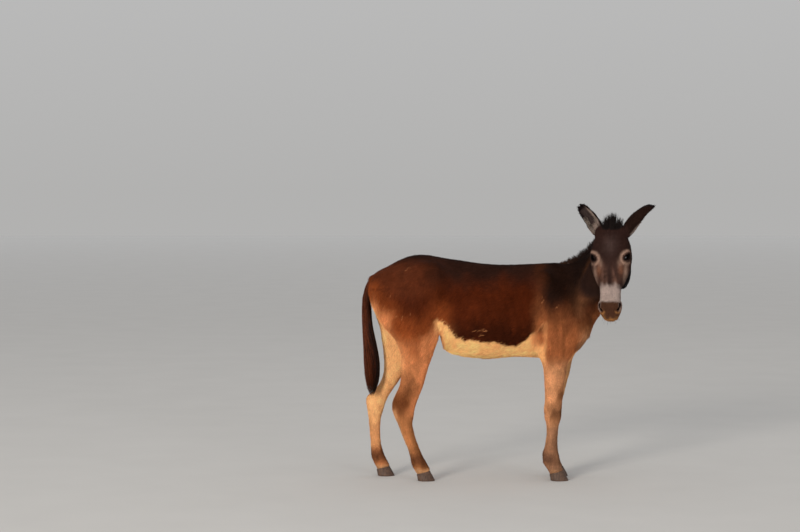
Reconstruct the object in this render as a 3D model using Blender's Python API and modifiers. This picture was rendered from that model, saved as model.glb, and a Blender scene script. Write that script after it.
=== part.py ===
"""A standing donkey (feral burro), life size, with its head turned to its right.

Metres, +Z up, +X forward along the body, +Y to the animal's left. The origin is on the floor, under the
middle of the model. The flesh is one smooth solid blended from anatomical masses, meshed once and then
parted with thin cuts into trunk, neck, head and legs. Ears, eyes, mane, forelock, tail and hooves are
pieces of their own.
"""

import math

import bmesh
import bpy
import numpy as np
import openvdb
from mathutils import Matrix, Vector

# ---------------------------------------------------------------- driving sizes
WITHERS_HEIGHT = 1.20
MODEL_CENTRE = (0.146, -0.137)  # the middle of the outline on the floor, in body coordinates
GAP = 0.0003  # clearance between neighbouring solids
CLEARANCE = 0.0010  # around hair and ears
CELL = 0.011  # sampling step of the blended body
BODY_TRIANGLES = 3900
FAR = 1.0  # field value far from any surface

# The head's own frame: s runs from the poll down the face, w to the animal's left, n out of the face.
POLL = np.array((0.687, -0.345, 1.393))
HEAD_YAW = math.radians(14)  # past a square turn to the right
HEAD_PITCH = math.radians(70)  # the face line below the horizontal
FACE_DOWN = np.array(
    (
        -math.cos(HEAD_PITCH) * math.sin(HEAD_YAW),
        -math.cos(HEAD_PITCH) * math.cos(HEAD_YAW),
        -math.sin(HEAD_PITCH),
    )
)
FACE_OUT = np.array(
    (
        -math.sin(HEAD_PITCH) * math.sin(HEAD_YAW),
        -math.sin(HEAD_PITCH) * math.cos(HEAD_YAW),
        math.cos(HEAD_PITCH),
    )
)
FACE_LEFT = np.array((math.cos(HEAD_YAW), -math.sin(HEAD_YAW), 0.0))
HEAD_ROLL = math.radians(2.2)  # the muzzle swings to the animal's left
FACE_DOWN, FACE_LEFT = (
    math.cos(HEAD_ROLL) * FACE_DOWN + math.sin(HEAD_ROLL) * FACE_LEFT,
    math.cos(HEAD_ROLL) * FACE_LEFT - math.sin(HEAD_ROLL) * FACE_DOWN,
)
HEAD_AXES = np.stack((FACE_DOWN, FACE_LEFT, FACE_OUT))

EYE_RADIUS = 0.0195
EYE_AT = (0.160, 0.074, -0.027)  # s, w, n

# ---------------------------------------------------------------- anatomy tables
# Trunk: x, back line, belly line, half width, how much the section narrows upwards
TRUNK = (
    (-0.614, 1.075, 1.030, 0.015, 0.00),
    (-0.600, 1.112, 0.975, 0.051, 0.00),
    (-0.580, 1.138, 0.935, 0.080, 0.00),
    (-0.550, 1.160, 0.890, 0.108, 0.05),
    (-0.500, 1.186, 0.850, 0.136, 0.10),
    (-0.440, 1.218, 0.825, 0.154, 0.12),
    (-0.360, 1.243, 0.800, 0.168, 0.14),
    (-0.280, 1.243, 0.800, 0.175, 0.14),
    (-0.222, 1.233, 0.795, 0.187, 0.16),
    (-0.205, 1.230, 0.740, 0.189, 0.16),
    (-0.166, 1.224, 0.702, 0.194, 0.17),
    (-0.095, 1.214, 0.678, 0.204, 0.18),
    (0.000, 1.200, 0.668, 0.213, 0.20),
    (0.100, 1.192, 0.669, 0.209, 0.22),
    (0.200, 1.192, 0.675, 0.192, 0.26),
    (0.300, 1.196, 0.672, 0.170, 0.32),
    (0.380, 1.194, 0.664, 0.151, 0.34),
    (0.450, 1.175, 0.662, 0.137, 0.30),
    (0.520, 1.090, 0.690, 0.117, 0.20),
    (0.575, 1.000, 0.742, 0.092, 0.10),
    (0.615, 0.930, 0.800, 0.056, 0.00),
)
# Neck: centre x, y, z, half depth crest to throat, half width
NECK = (
    (0.360, 0.000, 0.965, 0.185, 0.105),
    (0.460, -0.003, 0.990, 0.198, 0.118),
    (0.548, -0.020, 1.032, 0.178, 0.106),
    (0.618, -0.060, 1.108, 0.142, 0.090),
    (0.662, -0.118, 1.200, 0.112, 0.078),
    (0.685, -0.185, 1.260, 0.106, 0.070),
    (0.692, -0.245, 1.284, 0.100, 0.064),
    (0.690, -0.292, 1.290, 0.080, 0.052),
)
# Legs, by height: z, back edge x, front edge x, middle y, half width across
FORELEG_RIGHT = (
    (0.860, 0.350, 0.545, 0.098, 0.050),
    (0.780, 0.345, 0.540, 0.100, 0.055),
    (0.715, 0.338, 0.516, 0.102, 0.056),
    (0.655, 0.340, 0.486, 0.104, 0.053),
    (0.600, 0.346, 0.474, 0.105, 0.050),
    (0.540, 0.350, 0.464, 0.104, 0.045),
    (0.480, 0.353, 0.457, 0.102, 0.041),
    (0.430, 0.352, 0.452, 0.101, 0.039),
    (0.385, 0.350, 0.450, 0.100, 0.042),
    (0.350, 0.352, 0.447, 0.100, 0.041),
    (0.312, 0.361, 0.436, 0.099, 0.034),
    (0.265, 0.365, 0.430, 0.098, 0.028),
    (0.210, 0.362, 0.428, 0.098, 0.027),
    (0.160, 0.353, 0.431, 0.098, 0.029),
    (0.125, 0.342, 0.437, 0.098, 0.034),
    (0.098, 0.345, 0.443, 0.098, 0.033),
    (0.074, 0.360, 0.451, 0.098, 0.030),
    (0.045, 0.378, 0.466, 0.098, 0.033),
    (0.020, 0.386, 0.474, 0.098, 0.034),
)
HINDLEG_RIGHT = (
    (1.060, -0.585, -0.260, 0.090, 0.070),
    (0.985, -0.585, -0.240, 0.105, 0.080),
    (0.900, -0.545, -0.210, 0.110, 0.085),
    (0.830, -0.500, -0.212, 0.110, 0.080),
    (0.769, -0.470, -0.231, 0.108, 0.074),
    (0.702, -0.447, -0.254, 0.106, 0.064),
    (0.630, -0.438, -0.281, 0.104, 0.055),
    (0.575, -0.438, -0.297, 0.104, 0.049),
    (0.520, -0.448, -0.313, 0.104, 0.043),
    (0.481, -0.466, -0.328, 0.104, 0.039),
    (0.437, -0.484, -0.345, 0.104, 0.038),
    (0.398, -0.486, -0.357, 0.104, 0.038),
    (0.354, -0.473, -0.364, 0.104, 0.035),
    (0.315, -0.456, -0.370, 0.104, 0.030),
    (0.271, -0.439, -0.362, 0.104, 0.026),
    (0.227, -0.422, -0.350, 0.104, 0.025),
    (0.177, -0.401, -0.331, 0.104, 0.026),
    (0.133, -0.388, -0.312, 0.104, 0.031),
    (0.098, -0.381, -0.292, 0.104, 0.033),
    (0.070, -0.370, -0.276, 0.104, 0.030),
    (0.042, -0.352, -0.262, 0.104, 0.033),
    (0.020, -0.344, -0.254, 0.104, 0.034),
)
HINDLEG_LEFT = (
    (1.060, -0.585, -0.270, 0.090, 0.070),
    (0.985, -0.590, -0.255, 0.105, 0.080),
    (0.900, -0.575, -0.235, 0.110, 0.085),
    (0.824, -0.556, -0.250, 0.110, 0.080),
    (0.760, -0.546, -0.290, 0.108, 0.072),
    (0.700, -0.538, -0.338, 0.106, 0.062),
    (0.630, -0.532, -0.385, 0.104, 0.054),
    (0.575, -0.536, -0.418, 0.104, 0.048),
    (0.520, -0.556, -0.455, 0.104, 0.042),
    (0.481, -0.588, -0.482, 0.104, 0.039),
    (0.445, -0.627, -0.505, 0.104, 0.038),
    (0.410, -0.631, -0.520, 0.104, 0.038),
    (0.370, -0.626, -0.532, 0.104, 0.035),
    (0.330, -0.620, -0.544, 0.104, 0.030),
    (0.285, -0.616, -0.549, 0.104, 0.026),
    (0.235, -0.612, -0.549, 0.104, 0.025),
    (0.185, -0.607, -0.545, 0.104, 0.026),
    (0.140, -0.606, -0.534, 0.104, 0.031),
    (0.105, -0.602, -0.520, 0.104, 0.033),
    (0.075, -0.590, -0.504, 0.104, 0.030),
    (0.045, -0.574, -0.487, 0.104, 0.033),
    (0.020, -0.566, -0.479, 0.104, 0.034),
)
# How much further forward the far foreleg stands: height, shift
FORELEG_LEFT_SHIFT = ((0.00, 0.012), (0.38, 0.012), (0.58, 0.040), (0.90, 0.040))
# Hooves: name, heel x, toe x on the floor, middle y
HOOVES = (
    ("hoof_fore_right", 0.388, 0.489, -0.098),
    ("hoof_fore_left", 0.400, 0.501, 0.098),
    ("hoof_hind_right", -0.343, -0.246, -0.104),
    ("hoof_hind_left", -0.566, -0.469, 0.104),
)
HOOF_HALF_WIDTH = 0.040
CORONET_BACK = 0.040  # height of the hoof's upper edge over the heel
CORONET_SLOPE = 0.27
CORONET_TOP = 0.066  # nothing of a hoof is higher

# Skull and nose: s, forehead line n, lower line n, half width
FACE = (
    (-0.030, -0.045, -0.100, 0.034),
    (-0.010, -0.018, -0.120, 0.058),
    (0.028, 0.002, -0.132, 0.080),
    (0.072, 0.013, -0.140, 0.099),
    (0.118, 0.017, -0.142, 0.109),
    (0.162, 0.015, -0.140, 0.111),
    (0.202, 0.009, -0.132, 0.105),
    (0.242, 0.003, -0.122, 0.092),
    (0.280, 0.000, -0.112, 0.076),
    (0.318, -0.001, -0.102, 0.062),
    (0.356, -0.002, -0.094, 0.057),
    (0.390, -0.004, -0.090, 0.057),
    (0.424, -0.009, -0.088, 0.060),
    (0.451, -0.019, -0.088, 0.058),
    (0.474, -0.036, -0.086, 0.047),
    (0.490, -0.055, -0.081, 0.028),
)
# Lower jaw, the same columns
JAW = (
    (0.010, -0.080, -0.160, 0.045),
    (0.050, -0.080, -0.205, 0.060),
    (0.100, -0.080, -0.228, 0.068),
    (0.150, -0.080, -0.229, 0.070),
    (0.200, -0.075, -0.213, 0.067),
    (0.250, -0.070, -0.187, 0.061),
    (0.295, -0.065, -0.156, 0.051),
    (0.342, -0.060, -0.131, 0.041),
    (0.386, -0.060, -0.118, 0.038),
    (0.420, -0.060, -0.115, 0.040),
    (0.449, -0.065, -0.113, 0.038),
    (0.472, -0.075, -0.104, 0.027),
)


# ---------------------------------------------------------------- field toolkit
def dense(rows, samples=160):
    """The rows of a table joined by a smooth curve over their first column, or over their order."""
    table = np.array(rows, float)
    monotone = np.all(np.diff(table[:, 0]) > 0) or np.all(np.diff(table[:, 0]) < 0)
    key = table[:, 0] if monotone else np.arange(len(table), dtype=float)
    if key[0] > key[-1]:
        table, key = table[::-1], key[::-1]
    slope = np.gradient(table, key, axis=0)
    t = np.linspace(key[0], key[-1], samples)
    i = np.clip(np.searchsorted(key, t, side="right") - 1, 0, len(key) - 2)
    h = (key[i + 1] - key[i])[:, None]
    u = (t - key[i])[:, None] / h
    return (
        table[i] * (1 + 2 * u) * (1 - u) ** 2
        + table[i + 1] * u * u * (3 - 2 * u)
        + slope[i] * h * u * (1 - u) ** 2
        + slope[i + 1] * h * u * u * (u - 1)
    )


def ellipse(u, v, a, b):
    """About the signed distance to an ellipse of half axes a, b."""
    k0 = np.sqrt((u / a) ** 2 + (v / b) ** 2)
    k1 = np.sqrt((u / (a * a)) ** 2 + (v / (b * b)) ** 2)
    return k0 * (k0 - 1) / np.maximum(k1, 1e-6)


def beyond(t, low, high, d):
    """d closed off by flat ends at low and high."""
    return np.maximum(d, np.maximum(low - t, t - high))


def join(a, b, k):
    """Smooth union: the two surfaces flow into each other over about k."""
    h = np.clip(0.5 + 0.5 * (b - a) / k, 0, 1)
    return b + (a - b) * h - k * h * (1 - h)


def trunk(p):
    t = dense(TRUNK)
    x = p[:, 0]
    top, low, half, egg = (np.interp(x, t[:, 0], t[:, c]) for c in (1, 2, 3, 4))
    b = (top - low) / 2
    v = p[:, 2] - (top + low) / 2
    a = half * (1 - egg * np.clip(v / b, -1, 1))
    return beyond(x, t[0, 0], t[-1, 0], ellipse(p[:, 1], v, a, b))


def leg(table, side, shift=((0.0, 0.0), (1.0, 0.0))):
    t = dense(table)
    shift_z, shift_x = np.array(shift).T

    def field(p):
        z = p[:, 2]
        back, front, mid, half = (np.interp(z, t[:, 0], t[:, c]) for c in (1, 2, 3, 4))
        u = p[:, 0] - np.interp(z, shift_z, shift_x) - (back + front) / 2
        d = ellipse(u, p[:, 1] - side * mid, (front - back) / 2, half)
        return beyond(z, t[0, 0], t[-1, 0], d * 0.92)

    return field


def neck_frames():
    """Centres, tangents, crest directions, side directions, half depths and half widths along the neck."""
    t = dense(NECK, 40)
    centre = t[:, :3]
    along = np.gradient(centre, axis=0)
    along /= np.linalg.norm(along, axis=1)[:, None]
    side = np.cross((0.0, 0.0, 1.0), along)
    side /= np.linalg.norm(side, axis=1)[:, None]
    return np.concatenate((centre, along, np.cross(along, side), side, t[:, 3:]), 1)


def neck(p):
    """A bent tube; each point belongs softly to the nearest stretch of the neck's line."""
    gap = ((p[:, None, :] - NECK_FRAMES[None, :, :3]) ** 2).sum(2)
    weight = np.exp((gap.min(1)[:, None] - gap) / (2 * 0.055**2))
    f = (weight @ NECK_FRAMES) / weight.sum(1)[:, None]
    rel = p - f[:, :3]
    u = (rel * f[:, 9:12]).sum(1)
    v = (rel * f[:, 6:9]).sum(1)
    a, b = f[:, 13], f[:, 12]
    d = ellipse(u, v, a * (1 - 0.32 * np.clip(v / b, -1, 1)), b)
    first, last = NECK_FRAMES[0], NECK_FRAMES[-1]
    d = np.maximum(d, (first[:3] - p) @ first[3:6] - 0.03)
    return np.maximum(d, (p - last[:3]) @ last[3:6] - 0.01)


def head_sections(table, slim=0.0):
    t = dense(table)

    def field(q):
        s = q[:, 0]
        top, low, half = (np.interp(s, t[:, 0], t[:, c]) for c in (1, 2, 3))
        b = (top - low) / 2
        v = q[:, 2] - (top + low) / 2
        a = half * (1 + slim * np.clip(v / b, -1, 1))
        return beyond(s, t[0, 0], t[-1, 0], ellipse(q[:, 1], v, a, b))

    return field


def ball(q, centre, radii):
    """About the signed distance to an ellipsoid along the axes."""
    r = np.array(radii)
    d = q - np.array(centre)
    k0 = np.sqrt(((d / r) ** 2).sum(1))
    k1 = np.sqrt(((d / (r * r)) ** 2).sum(1))
    return k0 * (k0 - 1) / np.maximum(k1, 1e-6)


def rod(q, a, b, ra, rb):
    """About the signed distance to a rod from a to b whose radius goes from ra to rb."""
    a, b = np.array(a, float), np.array(b, float)
    ab = b - a
    h = np.clip(((q - a) @ ab) / (ab @ ab), 0, 1)
    return np.linalg.norm(q - a - h[:, None] * ab, axis=1) - (ra + (rb - ra) * h)


def head(p):
    q = (p - POLL) @ HEAD_AXES.T
    q[:, 1] = np.abs(q[:, 1])
    d = FACE_LOFT(q)
    d = join(d, JAW_LOFT(q), 0.030)
    d = join(d, ball(q, (0.185, 0.052, -0.138), (0.110, 0.044, 0.080)), 0.025)  # cheek
    d = join(d, ball(q, (0.140, 0.084, -0.016), (0.042, 0.022, 0.024)), 0.020)  # brow
    d = join(d, rod(q, (0.212, 0.084, -0.058), (0.295, 0.058, -0.058), 0.012, 0.008), 0.022)
    d = join(d, ball(q, (0.424, 0.040, -0.038), (0.030, 0.020, 0.026)), 0.018)  # nostril rim
    d = join(d, ball(q, (0.476, 0.000, -0.070), (0.018, 0.036, 0.024)), 0.018)  # upper lip
    d = join(d, ball(q, (0.457, 0.000, -0.103), (0.026, 0.030, 0.019)), 0.016)  # chin
    d = join(d, ball(q, (0.010, 0.062, -0.050), (0.036, 0.027, 0.034)), 0.025)  # ear root
    return d


def shoulder(p):
    """Shoulder blade and upper arm on both sides."""
    q = p * (1, 1, 1)
    q[:, 1] = np.abs(q[:, 1])
    blade = rod(q, (0.365, 0.075, 1.095), (0.535, 0.112, 0.850), 0.058, 0.068)
    arm = rod(q, (0.530, 0.112, 0.830), (0.405, 0.108, 0.710), 0.066, 0.062)
    triceps = rod(q, (0.390, 0.112, 0.900), (0.385, 0.110, 0.735), 0.070, 0.050)
    return join(join(blade, arm, 0.04), triceps, 0.04)


def haunch(p):
    """Hip, thigh and buttock on both sides."""
    q = p * (1, 1, 1)
    q[:, 1] = np.abs(q[:, 1])
    hip = ball(q, (-0.300, 0.120, 1.090), (0.120, 0.075, 0.110))
    thigh = ball(q, (-0.390, 0.118, 0.960), (0.185, 0.080, 0.175))
    buttock = ball(q, (-0.530, 0.070, 1.020), (0.070, 0.060, 0.110))
    return join(join(hip, thigh, 0.06), buttock, 0.05)


NECK_FRAMES = neck_frames()
FACE_LOFT = head_sections(FACE, 0.10)
JAW_LOFT = head_sections(JAW)
# Each mass: its field, the box it lies in and how softly it joins the rest
MASSES = (
    (trunk, (-0.63, -0.26, 0.62), (0.64, 0.26, 1.27), 0.03),
    (haunch, (-0.63, -0.22, 0.76), (-0.15, 0.22, 1.24), 0.07),
    (shoulder, (0.28, -0.20, 0.62), (0.64, 0.20, 1.20), 0.05),
    (leg(HINDLEG_RIGHT, -1), (-0.62, -0.21, 0.0), (-0.18, 0.0, 1.08), 0.035),
    (leg(HINDLEG_LEFT, 1), (-0.66, 0.0, 0.0), (-0.20, 0.21, 1.08), 0.035),
    (leg(FORELEG_RIGHT, -1), (0.30, -0.18, 0.0), (0.58, -0.02, 0.88), 0.05),
    (leg(FORELEG_RIGHT, 1, FORELEG_LEFT_SHIFT), (0.31, 0.02, 0.0), (0.62, 0.18, 0.88), 0.05),
    (neck, (0.22, -0.36, 0.72), (0.84, 0.16, 1.50), 0.06),
    (head, (0.50, -0.64, 0.84), (0.88, 0.00, 1.48), 0.035),
)


def body(p):
    """About the signed distance from points p to the coat's outer surface, negative inside."""
    found = np.full(len(p), FAR)
    for mass, low, high, soft in MASSES:
        reach = soft + 0.05
        near = np.all((p > np.array(low) - reach) & (p < np.array(high) + reach), axis=1)
        if near.any():
            found[near] = join(found[near], mass(p[near]), soft)
    return found


# ---------------------------------------------------------------- meshing
def surface(field, low, high, cell, block=8):
    """Vertices and quads where the field is zero, sampled only in blocks that the surface may cross."""
    low = np.array(low, float)
    count = np.ceil((np.array(high) - low) / cell / block).astype(int)
    corner = np.stack(np.meshgrid(*(np.arange(n) for n in count), indexing="ij"), -1).reshape(-1, 3)
    middle = low + (corner * block + (block - 1) / 2) * cell
    rough = field(middle)
    values = np.repeat(np.repeat(np.repeat(rough.reshape(count), block, 0), block, 1), block, 2)
    values = np.ascontiguousarray(values, np.float32)
    inner = np.stack(np.meshgrid(*[np.arange(block)] * 3, indexing="ij"), -1).reshape(-1, 3)
    for c in corner[np.abs(rough) < cell * block * 1.25]:
        points = low + (c * block + inner) * cell
        a, b, d = c * block
        values[a : a + block, b : b + block, d : d + block] = field(points).reshape([block] * 3)
    grid = openvdb.FloatGrid(FAR)
    grid.copyFromArray(values)
    points, quads = grid.convertToQuads(0.0)
    return points * cell + low, quads


def settle(points, field, rounds=3, step=0.0015):
    """Points moved along the field's slope on to its zero surface."""
    for _ in range(rounds):
        value = field(points)
        slope = np.stack([field(points + step * axis) - value for axis in np.eye(3)], 1) / step
        size = np.maximum((slope**2).sum(1), 0.05)
        move = slope * (value / size)[:, None]
        points = points - np.clip(move, -0.006, 0.006)
    return points


def face_out(mesh):
    work = bmesh.new()
    work.from_mesh(mesh)
    bmesh.ops.recalc_face_normals(work, faces=work.faces)
    work.to_mesh(mesh)
    work.free()


def new_object(name, verts, faces, folder):
    """A mesh object whose faces point outwards."""
    mesh = bpy.data.meshes.new(name)
    mesh.from_pydata([tuple(v) for v in verts], [], [tuple(f) for f in faces])
    face_out(mesh)
    obj = bpy.data.objects.new(name, mesh)
    folder.objects.link(obj)
    return obj


def baked(obj, folder):
    """A plain mesh object of what obj looks like with its modifiers; obj itself is removed."""
    name, place = obj.name, obj.matrix_world.copy()
    scene_now = bpy.context.evaluated_depsgraph_get()
    mesh = bpy.data.meshes.new_from_object(obj.evaluated_get(scene_now))
    face_out(mesh)
    bpy.data.objects.remove(obj)
    done = bpy.data.objects.new(name, mesh)
    done.matrix_world = place
    folder.objects.link(done)
    return done


def loft(name, rings, folder):
    """A closed solid through rings of equal point counts, with flat caps."""
    rings = np.array(rings)
    rows, around = rings.shape[:2]
    faces = []
    for r in range(rows - 1):
        for i in range(around):
            a, b = r * around + i, r * around + (i + 1) % around
            faces += [(a, b, b + around), (a, b + around, a + around)]
    faces.append(tuple(range(around)))
    faces.append(tuple((rows - 1) * around + i for i in range(around)))
    return new_object(name, rings.reshape(-1, 3), faces, folder)


def cut(obj, cutter):
    """Takes cutter out of obj; the flesh's thin facets need the manifold solver."""
    knife = obj.modifiers.new("cut", "BOOLEAN")
    knife.operation = "DIFFERENCE"
    knife.solver = "MANIFOLD"
    knife.object = cutter


def hide(obj):
    obj.hide_render = True
    obj.display_type = "WIRE"


def slab(name, centre, normal, across, size, folder):
    """A plate one gap thick, square to normal: one size along across and one at right angles to it."""
    normal = Vector(normal).normalized()
    across = Vector(across).normalized()
    bpy.ops.mesh.primitive_cube_add(size=1)
    plate = bpy.context.object
    plate.name = name
    axes = Matrix((across, normal.cross(across), normal)).transposed().to_4x4()
    plate.matrix_world = Matrix.Translation(centre) @ axes @ Matrix.Diagonal((size[0], size[1], GAP, 1))
    for old in plate.users_collection:
        old.objects.unlink(plate)
    folder.objects.link(plate)
    hide(plate)
    return plate


def paint(obj, colour, roughness):
    mat = bpy.data.materials.new(obj.name)
    mat.use_nodes = True
    shader = mat.node_tree.nodes["Principled BSDF"]
    shader.inputs["Base Color"].default_value = (*colour, 1)
    shader.inputs["Roughness"].default_value = roughness
    mat.diffuse_color = (*colour, 1)
    obj.data.materials.clear()
    obj.data.materials.append(mat)


def head_point(s, w, n):
    return POLL + np.array((s, w, n)) @ HEAD_AXES


# ---------------------------------------------------------------- pieces
EAR_THICKNESS = 0.0045
EAR_BOW = -0.014  # how far an ear's middle bends away from its opening
EAR_ROWS, EAR_COLUMNS = 11, 8
EAR_ROOT_SHARE = 0.34  # below this share of its length an ear may touch the head
# Along an ear: share of the length, radius of the cup, half angle of the cup in degrees
EAR_FORM = (
    (-0.10, 0.021, 160),
    (0.00, 0.027, 156),
    (0.12, 0.032, 136),
    (0.30, 0.037, 110),
    (0.50, 0.038, 92),
    (0.70, 0.036, 80),
    (0.86, 0.032, 74),
    (0.95, 0.025, 70),
    (1.00, 0.013, 66),
)
# Name, root in the head's frame, tip, the way the cup opens
EARS = (
    ("ear_right", (0.012, -0.062, -0.052), (0.530, -0.160, 1.512), (-0.66, -0.75, 0.0)),
    ("ear_left", (0.018, 0.070, -0.052), (0.938, -0.190, 1.503), (0.60, 0.45, -0.66)),
)
MANE_START, MANE_END = 0.23, 0.93  # shares of the neck's line
MANE_HEIGHT = 0.066
MANE_RINGS = 9
# Forelock: rise over the poll, half width, half depth
FORELOCK = ((-0.030, 0.024, 0.018), (0.010, 0.031, 0.020), (0.055, 0.048, 0.019), (0.096, 0.030, 0.008))
# Tail: height, back x, front x, middle y, half width
TAIL = (
    (1.118, -0.612, -0.575, 0.000, 0.020),
    (1.085, -0.634, -0.590, 0.000, 0.027),
    (1.030, -0.647, -0.596, 0.000, 0.028),
    (0.950, -0.652, -0.599, 0.002, 0.027),
    (0.850, -0.650, -0.592, 0.004, 0.029),
    (0.740, -0.645, -0.569, 0.006, 0.037),
    (0.620, -0.641, -0.552, 0.008, 0.041),
    (0.530, -0.632, -0.560, 0.008, 0.034),
    (0.475, -0.616, -0.580, 0.008, 0.018),
    (0.452, -0.603, -0.590, 0.008, 0.006),
)
# Plates that part the flesh: name, centre, normal, direction of the first side, both sides
PLATES = (
    ("cut_neck", (0.512, 0.0, 1.000), (0.94, 0.0, 0.341), (0, 1, 0), (0.80, 0.58)),
    ("cut_forelegs", (0.430, 0.0, 0.630), (0, 0, 1), (1, 0, 0), (0.34, 0.60)),
    ("cut_hindlegs", (-0.395, 0.0, 0.720), (0.258, 0.0, 0.966), (0, 1, 0), (0.60, 0.56)),
)
# Plates behind and below the jaw, in the head's frame: centre, first side's direction, its length
HEAD_PLATES = (
    ("cut_poll", (0.020, 0.0, -0.1625), (0.16, 0.0, -0.175), 0.27),
    ("cut_jaw", (0.215, 0.0, -0.232), (0.23, 0.0, 0.030), 0.30),
)
HEAD_PLATE_WIDTH = 0.40
# A point in each piece of the flesh
LABELS = (
    ("trunk", (0.00, 0.0, 0.95)),
    ("neck", (0.62, -0.06, 1.08)),
    ("head", (0.66, -0.44, 1.20)),
    ("foreleg_right", (0.41, -0.10, 0.34)),
    ("foreleg_left", (0.41, 0.10, 0.34)),
    ("hindleg_right", (-0.38, -0.10, 0.40)),
    ("hindleg_left", (-0.50, 0.10, 0.40)),
)
COLOURS = {
    "trunk": (0.062, 0.022, 0.010),
    "neck": (0.030, 0.016, 0.011),
    "head": (0.045, 0.022, 0.015),
    "foreleg": (0.36, 0.20, 0.12),
    "hindleg": (0.34, 0.18, 0.10),
    "ear": (0.026, 0.014, 0.010),
    "eye": (0.006, 0.004, 0.003),
    "mane": (0.018, 0.010, 0.008),
    "forelock": (0.010, 0.007, 0.006),
    "tail": (0.020, 0.010, 0.008),
    "hoof": (0.30, 0.19, 0.12),
}
GLOSSY = {"eye": 0.08, "hoof": 0.55}
COAT_ROUGHNESS = 0.9
# Hollows on both sides of the head: name, place, radii. The lids open over the eyeball's room.
HOLLOWS = (
    ("lids", (EYE_AT[0] + 0.001, EYE_AT[1] + 0.0145, EYE_AT[2] + 0.0165), (0.020, 0.017, 0.0155)),
    ("eye_room", EYE_AT, [EYE_RADIUS + GAP] * 3),
    ("nostril", (0.432, 0.050, -0.024), (0.013, 0.008, 0.012)),
)


def flesh(folder):
    verts, quads = surface(body, (-0.70, -0.68, -0.02), (0.92, 0.30, 1.52), CELL)
    obj = new_object("flesh", settle(verts, body), quads, folder)
    thin = obj.modifiers.new("thin", "DECIMATE")
    thin.ratio = BODY_TRIANGLES / (2 * len(quads))
    return baked(obj, folder)


def ellipsoid(name, place, radii, folder):
    """An ellipsoid at a place in the head's frame, its radii along the head's axes."""
    bpy.ops.mesh.primitive_uv_sphere_add(segments=16, ring_count=9, radius=1)
    obj = bpy.context.object
    obj.name = name
    turn = Matrix([list(a) for a in HEAD_AXES]).transposed().to_4x4()
    obj.matrix_world = Matrix.Translation(head_point(*place)) @ turn @ Matrix.Diagonal((*radii, 1))
    for old in obj.users_collection:
        old.objects.unlink(obj)
    folder.objects.link(obj)
    return obj


def coronet(x, heel):
    """Height of the sloping plane where a hoof meets its leg."""
    return CORONET_BACK + CORONET_SLOPE * (x - heel)


def hoof(name, heel, toe, middle, folder):
    """A hoof with a flat sole; its upper edge is the plane where the leg's skin starts."""
    rings = []
    for level in (0.0, 0.12, 0.55, 1.0):
        back = heel - 0.006 * level
        front = toe - 0.032 * level
        half = HOOF_HALF_WIDTH - 0.006 * level
        ring = []
        for i in range(24):
            turn = math.tau * i / 24
            squeeze = 1 - 0.10 * math.cos(turn)
            x = (back + front) / 2 + (front - back) / 2 * math.cos(turn)
            ring.append((x, middle + half * squeeze * math.sin(turn), level * (coronet(x, heel) - GAP)))
        rings.append(ring)
    return loft(name, rings, folder)


def ear_line(root, tip, opening):
    """Rings of an ear: share of its length, middle, cup radius and half angle, with the ear's axes."""
    base = head_point(*root)
    tip = np.array(tip)
    along = (tip - base) / np.linalg.norm(tip - base)
    open_way = np.array(opening) - along * np.dot(opening, along)
    open_way /= np.linalg.norm(open_way)
    rows = []
    for share, radius, angle in dense(EAR_FORM, EAR_ROWS):
        bow = EAR_BOW * math.sin(math.pi * np.clip(share, 0, 1))
        rows.append((share, base + (tip - base) * share + open_way * bow, radius, math.radians(angle)))
    return rows, open_way, np.cross(along, open_way)


def ear(name, root, tip, opening, folder):
    """A cupped leaf, rolled to a tube at its root."""
    rows, open_way, across = ear_line(root, tip, opening)
    verts = [
        middle + radius * (math.sin(angle * v) * across - math.cos(angle * v) * open_way)
        for _, middle, radius, angle in rows
        for v in np.linspace(-1, 1, EAR_COLUMNS)
    ]
    n = EAR_COLUMNS
    faces = [
        (r * n + c, r * n + c + 1, (r + 1) * n + c + 1, (r + 1) * n + c)
        for r in range(len(rows) - 1)
        for c in range(n - 1)
    ]
    obj = new_object(name, verts, faces, folder)
    wall = obj.modifiers.new("wall", "SOLIDIFY")
    wall.thickness = EAR_THICKNESS
    wall.offset = 0
    return baked(obj, folder)


def ear_room(name, root, tip, opening, folder):
    """The flesh stays out of this plug round an ear's rolled root."""
    rows, open_way, across = ear_line(root, tip, opening)
    rings = []
    for share, middle, radius, _ in rows:
        if share < EAR_ROOT_SHARE:
            deeper = (rows[0][1] - rows[1][1]) * 0.3 if share == rows[0][0] else 0
            wide = radius + EAR_THICKNESS / 2 + CLEARANCE
            turns = [math.tau * i / 20 for i in range(20)]
            ring = [middle + deeper + wide * (math.cos(t) * across + math.sin(t) * open_way) for t in turns]
            rings.append(ring)
    room = loft(name + "_room", rings, folder)
    hide(room)
    return room


def longer(rings, extra):
    """Rings whose first and last are pushed outwards along the loft by extra."""
    rings = np.array(rings)
    first, last = rings[0] - rings[1], rings[-1] - rings[-2]
    rings[0] += first * extra / np.linalg.norm(first, axis=1).min()
    rings[-1] += last * extra / np.linalg.norm(last, axis=1).min()
    return rings


def mane(extra):
    """Rings of an upright brush of hair along the crest of the neck, extra thicker all round."""
    rings = []
    for share in np.linspace(MANE_START, MANE_END, MANE_RINGS):
        at = share * (len(NECK_FRAMES) - 1)
        i = int(at)
        f = NECK_FRAMES[i] + (NECK_FRAMES[i + 1] - NECK_FRAMES[i]) * (at - i)
        crest, side = f[6:9], f[9:12]
        edge = f[:3] + crest * f[12]
        along = (share - MANE_START) / (MANE_END - MANE_START)
        height = MANE_HEIGHT * (0.35 + 0.65 * min(1, along / 0.35))
        half = [(0.018, -0.022 - extra), (0.018, 0.0), (0.012, 0.55 * height), (0.004, height + extra)]
        section = [(w + extra, h) for w, h in half] + [(-w - extra, h) for w, h in reversed(half)]
        rings.append([edge + side * w + crest * h for w, h in section])
    return longer(rings, extra)


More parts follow.
